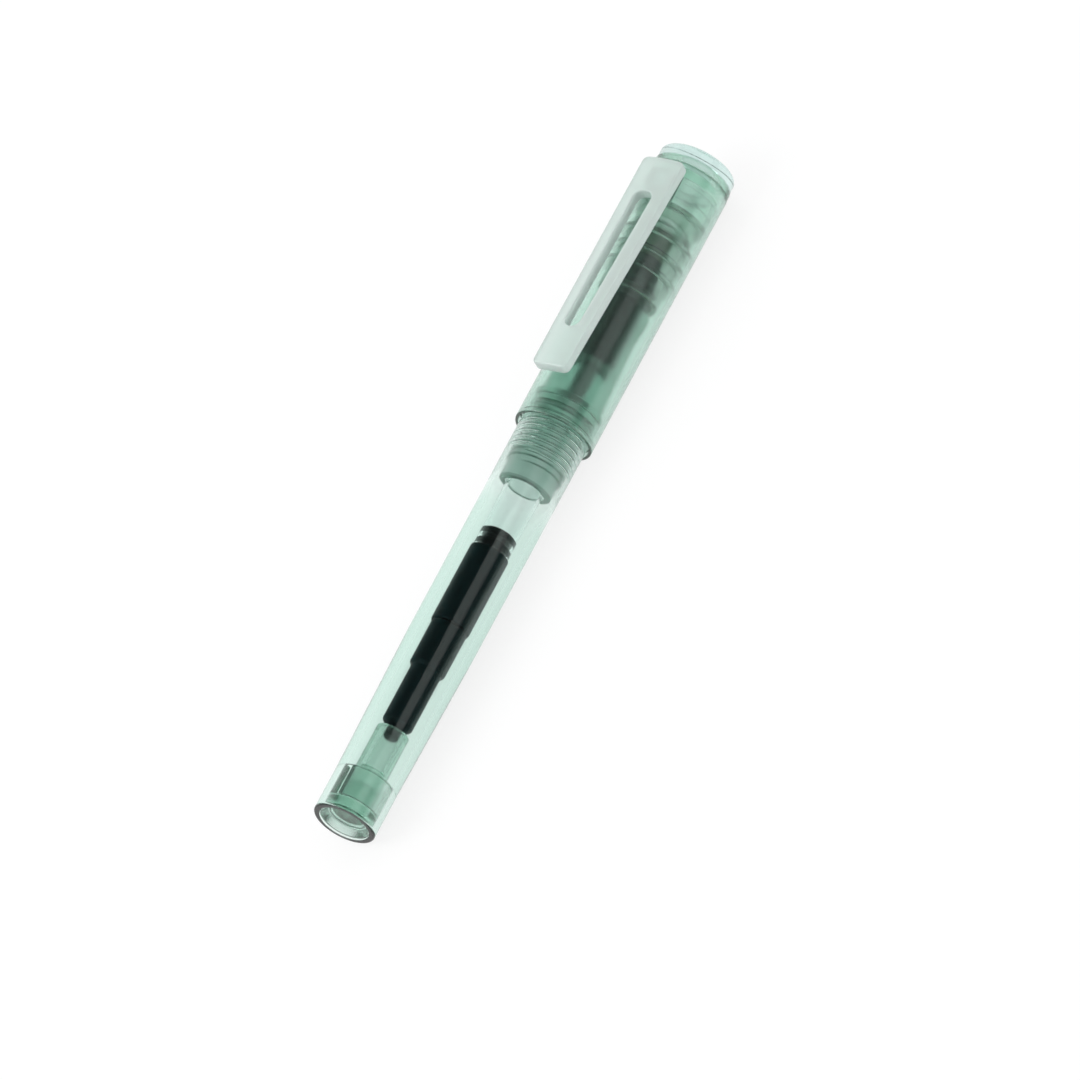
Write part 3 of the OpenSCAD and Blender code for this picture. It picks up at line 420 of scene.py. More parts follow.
# a moulded plastic; a tint makes it clear, and its depth in mm is where two thirds of the light is taken
def plastic(name, look):
    material = bpy.data.materials.new(name)
    material.use_nodes = True
    tree = material.node_tree
    shader = tree.nodes["Principled BSDF"]
    colour = placeGroup(tree, tintGroup, {
        "Color": (*look["colour"], 1), "Second": (*look["second"], 1), "Amount": look.get("flow", 0.6)})
    skin = placeGroup(tree, skinGroup, {
        "Roughness": look["roughness"], "Drift": look.get("drift", 0.05),
        "Grain size": look.get("grain", 0.00025)})
    scratches = placeGroup(tree, scratchGroup, {"Strength": look.get("scratches", 0.04)})
    bump = tree.nodes.new("ShaderNodeBump")
    bump.inputs["Strength"].default_value = look.get("bump", 0.1)
    bump.inputs["Distance"].default_value = look.get("bumpDepth", 0.00001)
    tree.links.new(skin["Height"], bump.inputs["Height"])
    tree.links.new(colour["Color"], shader.inputs["Base Color"])
    rough = calc(tree, "ADD", skin["Roughness"], scratches["Mask"], clamp=True)
    if "frostAfter" in look:
        place = tree.nodes.new("ShaderNodeTexCoord")
        split = tree.nodes.new("ShaderNodeSeparateXYZ")
        tree.links.new(place.outputs["Object"], split.inputs[0])
        frosted = tree.nodes.new("ShaderNodeMapRange")
        start = tailX + look["frostAfter"] * mm
        frosted.inputs["From Min"].default_value = start
        frosted.inputs["From Max"].default_value = start + look["frostRise"] * mm
        frosted.inputs["To Max"].default_value = look["frost"]
        tree.links.new(split.outputs["X"], frosted.inputs["Value"])
        rough = calc(tree, "ADD", rough, frosted.outputs[0], clamp=True)
    tree.links.new(rough, shader.inputs["Roughness"])
    tree.links.new(bump.outputs[0], shader.inputs["Normal"])
    shader.inputs["IOR"].default_value = look.get("ior", 1.49)
    shader.inputs["Transmission Weight"].default_value = look.get("clear", 0.0)
    shader.inputs["Specular IOR Level"].default_value = look.get("gloss", 0.5)
    if "tint" in look:
        depth = tree.nodes.new("ShaderNodeVolumeAbsorption")
        depth.inputs["Color"].default_value = (*look["tint"], 1)
        depth.inputs["Density"].default_value = 1 / (look["depth"] * mm)
        tree.links.new(depth.outputs[0], tree.nodes["Material Output"].inputs["Volume"])
    return material


# materials

clearBarrel = plastic("clear_barrel", {
    "colour": (0.985, 1.0, 0.993), "second": (0.96, 0.99, 0.98), "roughness": 0.06, "drift": 0.04,
    "clear": 1.0, "tint": (0.34, 0.74, 0.60), "depth": 6.0, "scratches": 0.03,
    "frostAfter": 67.5, "frostRise": 1.2, "frost": 0.09})
clearGreen = plastic("clear_green", {
    "colour": (0.94, 0.99, 0.97), "second": (0.90, 0.98, 0.95), "roughness": 0.20,
    "clear": 0.95, "tint": (0.34, 0.74, 0.58), "depth": 7.5, "scratches": 0.02})
clearTop = plastic("clear_top", {
    "colour": (0.95, 0.995, 0.975), "second": (0.91, 0.98, 0.95), "roughness": 0.14,
    "clear": 0.96, "tint": (0.45, 0.80, 0.66), "depth": 16.0, "scratches": 0.02})
frostedGrip = plastic("frosted_grip", {
    "colour": (0.95, 0.99, 0.97), "second": (0.91, 0.98, 0.95), "roughness": 0.30,
    "clear": 0.96, "tint": (0.26, 0.74, 0.58), "depth": 6.5, "scratches": 0.02})
clearTube = plastic("clear_tube", {
    "colour": (0.99, 1.0, 1.0), "second": (0.97, 0.99, 0.99), "roughness": 0.03, "drift": 0.02,
    "clear": 1.0, "tint": (0.66, 0.88, 0.84), "depth": 14.0, "scratches": 0.02})
frostedGreen = plastic("frosted_green", {
    "colour": (0.90, 0.99, 0.95), "second": (0.86, 0.97, 0.93), "roughness": 0.17,
    "clear": 0.99, "tint": (0.22, 0.70, 0.53), "depth": 5.5, "bump": 0.15})
# the clip's green is a lighter, less tinted copy of the cap's green; the extra paleness is painted light
# from the key lamp on the clip's face
clipPaintedLitGreen = plastic("pale_green", {
    "colour": (0.93, 0.985, 0.965), "second": (0.84, 0.96, 0.92), "flow": 1.2, "roughness": 0.22,
    "clear": 0.46, "tint": (0.38, 0.79, 0.66), "depth": 12.0, "bump": 0.15})
milkyPlastic = plastic("milky_plastic", {
    "colour": (0.88, 0.92, 0.90), "second": (0.82, 0.88, 0.85), "roughness": 0.18,
    "clear": 0.90, "tint": (0.64, 0.79, 0.71), "depth": 8.0, "scratches": 0.0})
softSeal = plastic("soft_seal", {
    "colour": (0.86, 0.94, 0.91), "second": (0.80, 0.90, 0.86), "roughness": 0.35,
    "clear": 0.85, "tint": (0.6, 0.75, 0.7), "depth": 3.0, "ior": 1.42, "scratches": 0.0})
darkPlastic = plastic("dark_plastic", {
    "colour": (0.002, 0.016, 0.020), "second": (0.004, 0.026, 0.030), "roughness": 0.45, "drift": 0.12,
    "gloss": 0.12, "bump": 0.2, "scratches": 0.1})
blackRubber = plastic("black_rubber", {
    "colour": (0.006, 0.014, 0.015), "second": (0.014, 0.024, 0.025), "roughness": 0.62, "drift": 0.1,
    "gloss": 0.2, "grain": 0.00012, "bump": 0.3, "scratches": 0.0})
inkFelt = plastic("ink_felt", {
    "colour": (0.66, 0.70, 0.60), "second": (0.52, 0.57, 0.48), "flow": 1.0, "roughness": 0.85, "drift": 0.1,
    "gloss": 0.15, "grain": 0.00009, "bump": 0.9, "bumpDepth": 0.00004, "scratches": 0.0})
print("materials made")


# the piece stands for a CAD node and rides on its body
def show(obj, node, body, material):
    if material.name not in [m.name for m in obj.data.materials if m]:
        obj.data.materials.clear()
        obj.data.materials.append(material)
    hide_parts(node)
    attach(obj, body)


threadTree = screwThread()
rowTree = rowAlong()
screw = dict(pitch=1.2, height=0.42, foot=0.533, crest=0.30, ring=0.055)


# close rings for a thread, as outline points with no fillet
def threadRings(alongFrom, alongTo, radius):
    count = round(abs(alongTo - alongFrom) / screw["ring"])
    return [(alongFrom + (alongTo - alongFrom) * i / count, radius, 0) for i in range(count + 1)]


def cutThread(obj, start, root, height, turns, material):
    runNodes(obj, threadTree, {
        "Start": tailX + start * mm, "Root": root * mm, "Height": height * mm,
        "Pitch": screw["pitch"] * mm, "Turns": turns, "Foot": screw["foot"] * mm,
        "Crest": screw["crest"] * mm, "Run out": 0.12, "Axis height": axisZ, "Material": material})


# barrel

barrelLook = dict(
    rim=0.35, tailRadius=5.55, landEnd=9.0, bellyAt=36.0, bellyRadius=5.98,
    plugBore=4.50, plugDepth=8.6, rearBore=4.25, bore=4.70, boreStep=66.5, boreTaper=4.0,
    threadBore=5.26, sealBore=5.46, sealAt=81.8, threadStart=73.0, threadTurns=6.5)


def makeBarrel():
    b = barrelLook
    tail, mouth = span("barrel")
    mouthRadius = outerRadius("barrel")
    obj = turnedPiece("barrel_clear", [
        (tail, b["plugBore"], 0.12), (tail, b["tailRadius"], b["rim"]),
        (b["landEnd"], b["tailRadius"], 2.0), (b["bellyAt"], b["bellyRadius"], 20.0),
        (mouth, mouthRadius, 0.12), (mouth, b["sealBore"], 0.08), (b["sealAt"], b["sealBore"], 0.04),
        (b["sealAt"] - 0.2, b["threadBore"], 0.04),
        *threadRings(b["sealAt"] - 0.6, b["boreStep"] + 5.6, b["threadBore"]),
        (b["boreStep"] + 0.3, b["threadBore"], 0.3), (b["boreStep"] - b["boreTaper"], b["bore"], 3.0),
        (b["plugDepth"], b["rearBore"], 0.05), (b["plugDepth"], b["plugBore"], 0.05),
    ], segments=144)
    cutThread(obj, b["threadStart"], b["threadBore"], -screw["height"], b["threadTurns"], clearBarrel)
    show(obj, "barrel", "barrel", clearBarrel)


# tail plug

plugLook = dict(
    radius=4.48, dishDepth=1.0, dishFloor=3.1, edge=0.28, endWall=2.6, groove=0.3,
    skirtWall=0.88, slotWidth=1.6, slotTurn=math.radians(-14),
    socketRadius=2.9, socketBore=1.53, socketDepth=8.0)


def makeTailPlug():
    p = plugLook
    face, socketTop = span("tail_plug")
    skirtEnd = barrelLook["plugDepth"]
    wallEnd = face + p["endWall"]
    inner = p["radius"] - p["skirtWall"]
    obj = turnedPiece("tail_plug_clear", [
        (face + p["dishDepth"], 0), (face + p["dishDepth"], p["dishFloor"], 0.5),
        (face, p["radius"] - p["edge"], 0.1), (face, p["radius"], 0.06),
        (wallEnd - p["groove"], p["radius"]), (wallEnd - p["groove"], p["radius"] - p["groove"], 0.08),
        (wallEnd, p["radius"] - p["groove"], 0.08), (wallEnd, p["radius"]),
        (skirtEnd, p["radius"]), (skirtEnd, inner, 0.08), (wallEnd, inner, 0.25),
        (wallEnd, p["socketRadius"], 0.25), (socketTop, p["socketRadius"], 0.1),
        (socketTop, p["socketBore"], 0.1), (socketTop - p["socketDepth"], p["socketBore"], 0.2),
        (socketTop - p["socketDepth"], 0),
    ])
    slotCutter = blockPiece(
        "slot_cutter", wallEnd, skirtEnd + 1, inner - 0.2, p["radius"] + 1, p["slotWidth"], p["slotTurn"])
    combine(obj, slotCutter)
    show(obj, "tail_plug", "barrel", clearGreen)


# grip section and its seals

gripLook = dict(
    stemRadius=4.70, chamfer=0.3, wallRadius=4.94, wall=0.6, grooveAt=81.95, grooveWidth=1.04,
    grooveRadius=4.56, landRadius=5.36, flangeRadius=6.03, flange=1.2, rear=5.5, waist=4.75, waistBack=6.0,
    bead=5.0, beadBack=2.0, beadWidth=1.0, frontRadius=4.5, bore=3.5, feedBore=3.6,
    threadStart=71.2, threadTurns=7.5)


def makeGrip():
    g = gripLook
    rear, front = span("section")
    mouth = span("barrel")[1]
    feed = span("converter_tube")[1]
    grooveEnd = g["grooveAt"] + g["grooveWidth"]
    obj = turnedPiece("grip_section", [
        (rear, g["bore"], 0.08), (rear, g["stemRadius"] - g["chamfer"], 0.06),
        (rear + g["chamfer"], g["stemRadius"], 0.06),
        *threadRings(rear + 2.6, g["grooveAt"] - g["wall"] - 0.7, g["stemRadius"]),
        (g["grooveAt"] - g["wall"], g["stemRadius"]), (g["grooveAt"] - g["wall"], g["wallRadius"]),
        (g["grooveAt"], g["wallRadius"]), (g["grooveAt"], g["grooveRadius"]),
        (grooveEnd, g["grooveRadius"]), (grooveEnd, g["landRadius"]),
        (mouth + airGap, g["landRadius"]), (mouth + airGap, g["flangeRadius"], 0.1),
        (mouth + g["flange"], g["flangeRadius"], 0.2), (mouth + g["flange"], g["rear"], 0.2),
        (front - g["waistBack"], g["waist"], 4.0), (front - g["beadBack"], g["bead"], 0.8),
        (front - g["beadBack"] + g["beadWidth"], g["bead"], 0.5), (front, g["frontRadius"], 0.12),
        (front, g["feedBore"], 0.06), (feed, g["feedBore"], 0.06), (feed, g["bore"], 0.06),
    ], segments=144)
    cutThread(obj, g["threadStart"], g["stemRadius"], screw["height"], g["threadTurns"], frostedGrip)
    show(obj, "section", "grip", frostedGrip)


def makeSeals():
    low, high = span("section_o_ring")
    ringRadius = (high - low) / 2
    outer = outerRadius("section_o_ring")
    sides = 20
    ring = [
        ((low + high) / 2 + ringRadius * math.cos(fullTurn * i / sides),
         outer - ringRadius + ringRadius * math.sin(fullTurn * i / sides), 0)
        for i in range(sides)
    ]
    show(turnedPiece("o_ring_soft", ring), "section_o_ring", "o_ring", softSeal)
    low, high = span("nose_seal")
    low += airGap
    outer = outerRadius("nose_seal")
    seal = turnedPiece("nose_seal_soft", [
        (low, gripLook["feedBore"], 0.1), (low, outer, 0.1),
        (high, outer, 0.3), (high, gripLook["feedBore"], 0.1)])
    show(seal, "nose_seal", "grip", softSeal)


# tip holder, felt and wick

tipLook = dict(
    feltRadius=2.45, spigot=3.58, rearRadius=3.55, ringStep=1.3, ringHeight=0.1, frontRadius=2.75,
    chiselFrom=0.6, chiselThickness=1.6, slant=2.6, slantLean=(5.5, 3.6), wear=0.18)


def makeTip():
    t = tipLook
    rear, tip = span("tip_holder")
    seal = span("nose_seal")[1]
    flange = outerRadius("tip_holder")
    noseStart = seal + 1.0
    ring = tip - 2 * t["ringStep"]
    taper = (t["rearRadius"] - t["frontRadius"]) / (tip - noseStart)
    ringRadius = t["frontRadius"] + taper * 2 * t["ringStep"]
    bore = t["feltRadius"] + 0.02
    holder = turnedPiece("tip_holder_dark", [
        (rear, bore, 0.08), (rear, t["spigot"], 0.15), (seal, t["spigot"], 0.05), (seal, flange, 0.12),
        (noseStart, flange, 0.2), (noseStart, t["rearRadius"], 0.1), (ring, ringRadius, 0.08),
        (ring, ringRadius - t["ringHeight"], 0.04), (ring + t["ringStep"], t["frontRadius"], 0.08),
        (ring + t["ringStep"], t["frontRadius"] - t["ringHeight"], 0.04),
        (tip, t["frontRadius"] - t["ringHeight"], 0.12), (tip, bore, 0.05),
    ])
    show(holder, "tip_holder", "grip", darkPlastic)
    makeFelt(tip)
    low, high = span("ink_wick")
    radius = outerRadius("ink_wick")
    wick = turnedPiece(
        "wick_fibre", [(low, 0), (low, radius, 0.15), (high, radius, 0.15), (high, 0)], segments=64)
    show(wick, "ink_wick", "grip", inkFelt)


# a rod cut to a slanted chisel by planes, then worn round at its edges
def makeFelt(holderTip):
    t = tipLook
    low, high = span("felt_tip")
    radius = t["feltRadius"]
    start = holderTip + t["chiselFrom"]
    steps = 34
    bm = bmesh.new()
    side = [(low + (high - low) * i / steps, radius, 0) for i in range(1, steps)]
    addTurned(bm, [(low, 0), (low, radius, 0.15), *side, (high, radius, 0), (high, 0)], 96, 0)
    half = t["chiselThickness"] / 2
    planes = []
    for up in (1, -1):
        lean = Vector((radius - half, 0, up * (high - start)))
        planes.append((spot(high, half * up), lean))
    acrossBy, fallBy = t["slantLean"]  # how the slanted edge falls back over the width
    planes.append((
        Vector((tailX + (high - t["slant"]) * mm, -(radius + 1) * mm, axisZ)),
        Vector((acrossBy, -fallBy, 0))))
    for point, normal in planes:
        geometry = bm.verts[:] + bm.edges[:] + bm.faces[:]
        bmesh.ops.bisect_plane(
            bm, geom=geometry, dist=1e-8, plane_co=point, plane_no=normal, clear_outer=True)
        rim = [e for e in bm.edges if e.is_boundary]
        bmesh.ops.holes_fill(bm, edges=rim, sides=0)
    bmesh.ops.recalc_face_normals(bm, faces=bm.faces)
    bm.normal_update()
    worn = [e for e in bm.edges if len(e.link_faces) == 2 and e.calc_face_angle() > math.radians(24)
            and (e.verts[0].co.x - tailX) / mm > holderTip]
    bmesh.ops.bevel(
        bm, geom=worn, offset=t["wear"] * mm, segments=3, profile=0.5, affect="EDGES", clamp_overlap=True)
    felt = finishMesh("felt_chisel", bm)
    show(felt, "felt_tip", "grip", inkFelt)


# ink collector

feedLook = dict(core=2.2, disc=3.58, base=1.0, nipple=1.6, fins=7, fin=0.6)


def makeCollector():
    f = feedLook
    low, high = span("ink_collector")
    feed = span("converter_tube")[1]
    wickBore = outerRadius("ink_wick") + 0.02
    step = (high - feed - f["base"]) / f["fins"]
    firstFin = feed + f["base"] + step - f["fin"]
    obj = turnedPiece("collector_dark", [
        (firstFin, f["core"] - 0.2), (firstFin, f["disc"], 0.1),
        (firstFin + f["fin"], f["disc"], 0.1), (firstFin + f["fin"], f["core"] - 0.2)])
    runNodes(obj, rowTree, {"Count": f["fins"], "Step": step * mm, "Material": darkPlastic})
    bm = bmesh.new()
    bm.from_mesh(obj.data)
    addTurned(bm, [
        (low, wickBore, 0.1), (low, f["nipple"], 0.25), (feed, f["nipple"], 0.2), (feed, f["disc"], 0.1),
        (feed + f["base"], f["disc"], 0.1), (feed + f["base"], f["core"], 0.1),
        (high - 0.01, f["core"], 0.02), (high - 0.01, wickBore, 0.02)], 128, 0.05)
    bmesh.ops.recalc_face_normals(bm, faces=bm.faces)
    bm.to_mesh(obj.data)
    bm.free()
    shadeSmooth(obj)
    show(obj, "ink_collector", "grip", darkPlastic)


# converter

converterLook = dict(
    tubeRadius=3.2, tubeBore=2.75, mouthWall=6.4, nippleBore=1.62, collarRadius=3.45, sleeveBore=2.05,
    catchBore=2.45, gap=0.2, catch=1.4, fit=0.02)
sealLook = dict(press=0.09, lip=1.3, waistDrop=0.15, core=1.52, nose=0.2, chamfer=0.3, dish=0.6)
knobLook = dict(
    stub=1.33, rear=2.7, front=3.2, sleeve=2.0, catch=2.4, bore=1.49, cone=1.3, stubLength=1.7,
    rearLength=10.8, shoulder=0.5, gripLength=8.2)


def makeConverter():
    c = converterLook
    rear, front = span("converter_tube")
    tube = turnedPiece("converter_tube_clear", [
        (rear, c["tubeBore"], 0.08), (rear, c["tubeRadius"], 0.12), (front, c["tubeRadius"], 0.3),
        (front, c["nippleBore"], 0.15), (front - c["mouthWall"], c["nippleBore"], 0.2),
        (front - c["mouthWall"], c["tubeBore"], 0.5)])
    show(tube, "converter_tube", "grip", clearTube)
    low, high = span("converter_collar")
    catchAt = rear - 2 * c["gap"] - c["catch"]
    collar = turnedPiece("converter_collar_dark", [
        (low, c["sleeveBore"]), (low, c["collarRadius"], 0.25), (high, c["collarRadius"], 0.3),
        (high, c["tubeRadius"] + c["fit"], 0.06), (rear, c["tubeRadius"] + c["fit"]), (rear, c["catchBore"]),
        (catchAt, c["catchBore"]), (catchAt, c["sleeveBore"])])
    show(collar, "converter_collar", "grip", darkPlastic)
    makeKnob()
    low, high = span("piston_seal")
    radius = outerRadius("piston_seal")
    p = sealLook
    pressed = radius + p["press"]  # the lips press on the tube's wall
    lip, waist, nose = p["lip"], radius - p["waistDrop"], radius - p["nose"]
    seal = turnedPiece("piston_seal_black", [
        (low, p["core"]), (low, nose, 0.1), (low + p["chamfer"], pressed, 0.1), (low + lip, pressed, 0.1),
        (low + lip + 0.2, waist, 0.1), (high - lip - 0.2, waist, 0.1), (high - lip, pressed, 0.1),
        (high - p["chamfer"], pressed, 0.1), (high, nose, 0.15), (high, 0), (high - p["dish"], 0),
        (high - p["dish"], p["core"]),
    ])
    show(seal, "piston_seal", "piston", blackRubber)


def makeKnob():
    k = knobLook
    low, high = span("knob")
    stubEnd = low + k["stubLength"]
    rearStart = stubEnd + k["cone"]
    step = rearStart + k["rearLength"] + k["shoulder"]
    front = step + k["gripLength"]
    catchAt = high - converterLook["catch"]
    obj = turnedPiece("knob_dark", [
        (low, 0), (low, k["stub"], 0.2), (stubEnd, k["stub"], 0.2), (rearStart, k["rear"], 0.4),
        (step - k["shoulder"], k["rear"], 0.2), (step, k["front"], 0.2), (front, k["front"], 0.2),
        (front, k["sleeve"], 0.08), (catchAt, k["sleeve"], 0.08), (catchAt, k["catch"], 0.1),
        (high, k["sleeve"] + 0.05, 0.05), (high, k["bore"], 0.05), (rearStart + 0.3, k["bore"], 0.2),
        (rearStart + 0.3, 0)])
    show(obj, "knob", "knob", darkPlastic)


# cap

capLook = dict(
    bore=6.2, lipBore=6.44, lipDepth=1.1, lipRound=0.22, topRound=0.2, windowLength=3.6, windowWidth=4.2)
innerLook = dict(
    sleeve=5.3, bore=4.15, mouthBore=4.35, mouthDepth=2.6, rib=6.18, ribWidth=0.7, ribDrop=6.0, ribStep=3.3,
    ribs=3, flange=0.8, domeWall=1.0)
topLook = dict(
    skirt=6.05, skirtBore=4.9, rib=6.18, ribAt=1.6, ribStep=2.4, ribWidth=0.5, flangeRadius=6.92,
    endWall=3.2, spigotDepth=1.0, spigotBore=3.0, windowLength=4.8)
discLook = dict(edge=0.5, foot=0.15, spigot=2.98)
clipLook = dict(
    length=43.6, drop=1.5, topWidth=8.2, endWidth=6.7, thickness=2.1, crown=19.0, corner=1.0,
    rootGap=0.25, endGap=1.5, rowStep=1.2, rowGap=0.012,
    slotFrom=7.0, slotLength=28.4, slotTopWidth=3.5, slotEndWidth=2.8, slotCorner=1.39, topEdge=0.28,
    underEdge=0.16, footAt=3.0, footLength=3.2, footWidth=3.8, footBevel=0.08,
    headLength=4.4, headThickness=0.65, headTop=5.70)


def clipTop():
    return span("cap_shell")[1] - clipLook["drop"]


def footMiddle():
    return clipTop() - clipLook["footAt"]


def makeCapShell():
    c = capLook
    lip, top = span("cap_shell")
    outer = outerRadius("cap_shell")
    obj = turnedPiece("cap_frosted", [
        (lip, c["lipBore"], 0.1), (lip, outer, c["lipRound"]), (top, outer, c["topRound"]),
        (top, c["bore"], 0.08), (lip + c["lipDepth"], c["bore"], 0.04),
        (lip + c["lipDepth"], c["lipBore"], 0.08)], segments=160)
    half = c["windowLength"] / 2
    middle = footMiddle()
    window = blockPiece(
        "window_cutter", middle - half, middle + half, c["bore"] - 1, outer + 1, c["windowWidth"])
    combine(obj, window)
    show(obj, "cap_shell", "cap", frostedGreen)


def makeInnerCap():
    c = innerLook
    mouth, top = span("inner_cap")
    domeEnd = top - c["domeWall"]
    domeStart = domeEnd - c["bore"]
    outline = [(mouth, c["mouthBore"], 0.15), (mouth, c["sleeve"], 0.2)]
    for i in reversed(range(c["ribs"])):
        at = top - c["ribDrop"] - c["ribStep"] * i
        outline += [(at, c["sleeve"], 0.12), (at, c["rib"], 0.06), (at + c["ribWidth"], c["rib"], 0.06),
                    (at + c["ribWidth"], c["sleeve"], 0.12)]
    outline += [(top - c["flange"], c["sleeve"], 0.12), (top - c["flange"], c["rib"], 0.06),
                (top, c["rib"], 0.06), (top, 0), (domeEnd, 0)]
    steps = 14
    for i in range(1, steps):
        a = math.pi / 2 * i / steps
        outline.append((domeStart + c["bore"] * math.cos(a), c["bore"] * math.sin(a), 0))
    outline += [(domeStart, c["bore"], 0), (mouth + c["mouthDepth"], c["bore"], 0.04),
                (mouth + c["mouthDepth"], c["mouthBore"], 0.06)]
    show(turnedPiece("inner_cap_milky", outline), "inner_cap", "cap", milkyPlastic)


def makeCapTop():
    c = topLook
    skirt, end = span("cap_top_plug")
    skirt += airGap
    capEnd = span("cap_shell")[1] + airGap
    wall = end - c["endWall"]
    outline = [(skirt, c["skirtBore"], 0.1), (skirt, c["skirt"], 0.1)]
    for i in range(2):
        at = skirt + c["ribAt"] + c["ribStep"] * i
        outline += [(at, c["skirt"], 0.04), (at, c["rib"], 0.05), (at + c["ribWidth"], c["rib"], 0.05),
                    (at + c["ribWidth"], c["skirt"], 0.04)]
    outline += [(capEnd, c["skirt"], 0.05), (capEnd, c["flangeRadius"], 0.1), (end, c["flangeRadius"], 0.12),
                (end, c["spigotBore"], 0.06), (end - c["spigotDepth"], c["spigotBore"], 0.08),
                (end - c["spigotDepth"], 0), (wall, 0), (wall, c["skirtBore"], 0.2)]
    obj = turnedPiece("cap_top_clear", outline)
    half = c["windowLength"] / 2
    middle = footMiddle()
    window = blockPiece(
        "window_cutter", middle - half, middle + half, c["skirtBore"] - 1, c["skirt"] + 0.9,
        capLook["windowWidth"])
    combine(obj, window)
    show(obj, "cap_top_plug", "cap", clearTop)


def makeDisc():
    c = discLook
    low, high = span("finial_disc")
    outer = outerRadius("finial_disc")
    face = span("cap_top_plug")[1]
    obj = turnedPiece("finial_clear", [
        (low + airGap, 0), (low + airGap, c["spigot"], 0.1), (face + airGap, c["spigot"], 0.02),
        (face + airGap, outer, c["foot"]),
        (high, outer, c["edge"]), (high, 0)], segments=144)
    show(obj, "finial_disc", "cap", clearTube)


# clip

def edgeSteps(radius):
    return [radius * (1 - math.cos(math.radians(a))) for a in (0, 15, 30, 45, 60, 75, 90)]


def cornerInset(fromEnd, radius):
    if fromEnd >= radius:
        return 0.0
    return radius - math.sqrt(max(0.0, radius * radius - (radius - fromEnd) ** 2))


# distance from a rounded rectangle's outline, positive outside it
def roundedBox(along, across, middle, halfLength, halfWidth, radius):
    x = abs(along - middle) - (halfLength - radius)
    y = abs(across) - (halfWidth - radius)
    return math.hypot(max(x, 0), max(y, 0)) + min(max(x, y), 0) - radius


def clipHalfWidth(along):
    c = clipLook
    return (c["topWidth"] + (c["endWidth"] - c["topWidth"]) * along / c["length"]) / 2


def slotHalfWidth(along):
    c = clipLook
    share = (along - c["slotFrom"]) / c["slotLength"]
    return (c["slotTopWidth"] + (c["slotEndWidth"] - c["slotTopWidth"]) * max(0, min(1, share))) / 2


# rows across the clip, close together at its ends and at the slot's ends
def clipStations():
    c = clipLook
    slotEnd = c["slotFrom"] + c["slotLength"]
    steps = edgeSteps(c["topEdge"]) + edgeSteps(c["corner"]) + edgeSteps(c["slotCorner"])
    rows = set()
    for end, ways in ((0, (1,)), (c["length"], (-1,)), (c["slotFrom"], (1, -1)), (slotEnd, (1, -1))):
        rows.update(round(end + way * step, 4) for way in ways for step in steps)
    rows.update(i * c["rowStep"] for i in range(math.ceil(c["length"] / c["rowStep"])))
    kept = []
    fixed = (0, c["length"], c["slotFrom"], slotEnd)
    for row in sorted(rows):
        if row < 0 or row > c["length"]:
            continue
        clear = all(abs(row - f) > c["rowGap"] for f in fixed)
        if row in fixed or clear and (not kept or row - kept[-1] > c["rowGap"]):
            kept.append(row)
    return kept


# places across one rail, from the edge in to the slot
def clipColumns(outer, inner):
    c = clipLook
    steps = edgeSteps(c["topEdge"])
    room = outer - inner
    share = min(1.0, outlineLook["arcShare"] * room / steps[-1])
    fromEdge = [outer - step * share for step in steps]
    fromSlot = [inner + step * share for step in reversed(steps)]
    middle = [fromEdge[-1] + (fromSlot[0] - fromEdge[-1]) * i / 4 for i in range(1, 4)]
    return fromEdge + middle + fromSlot


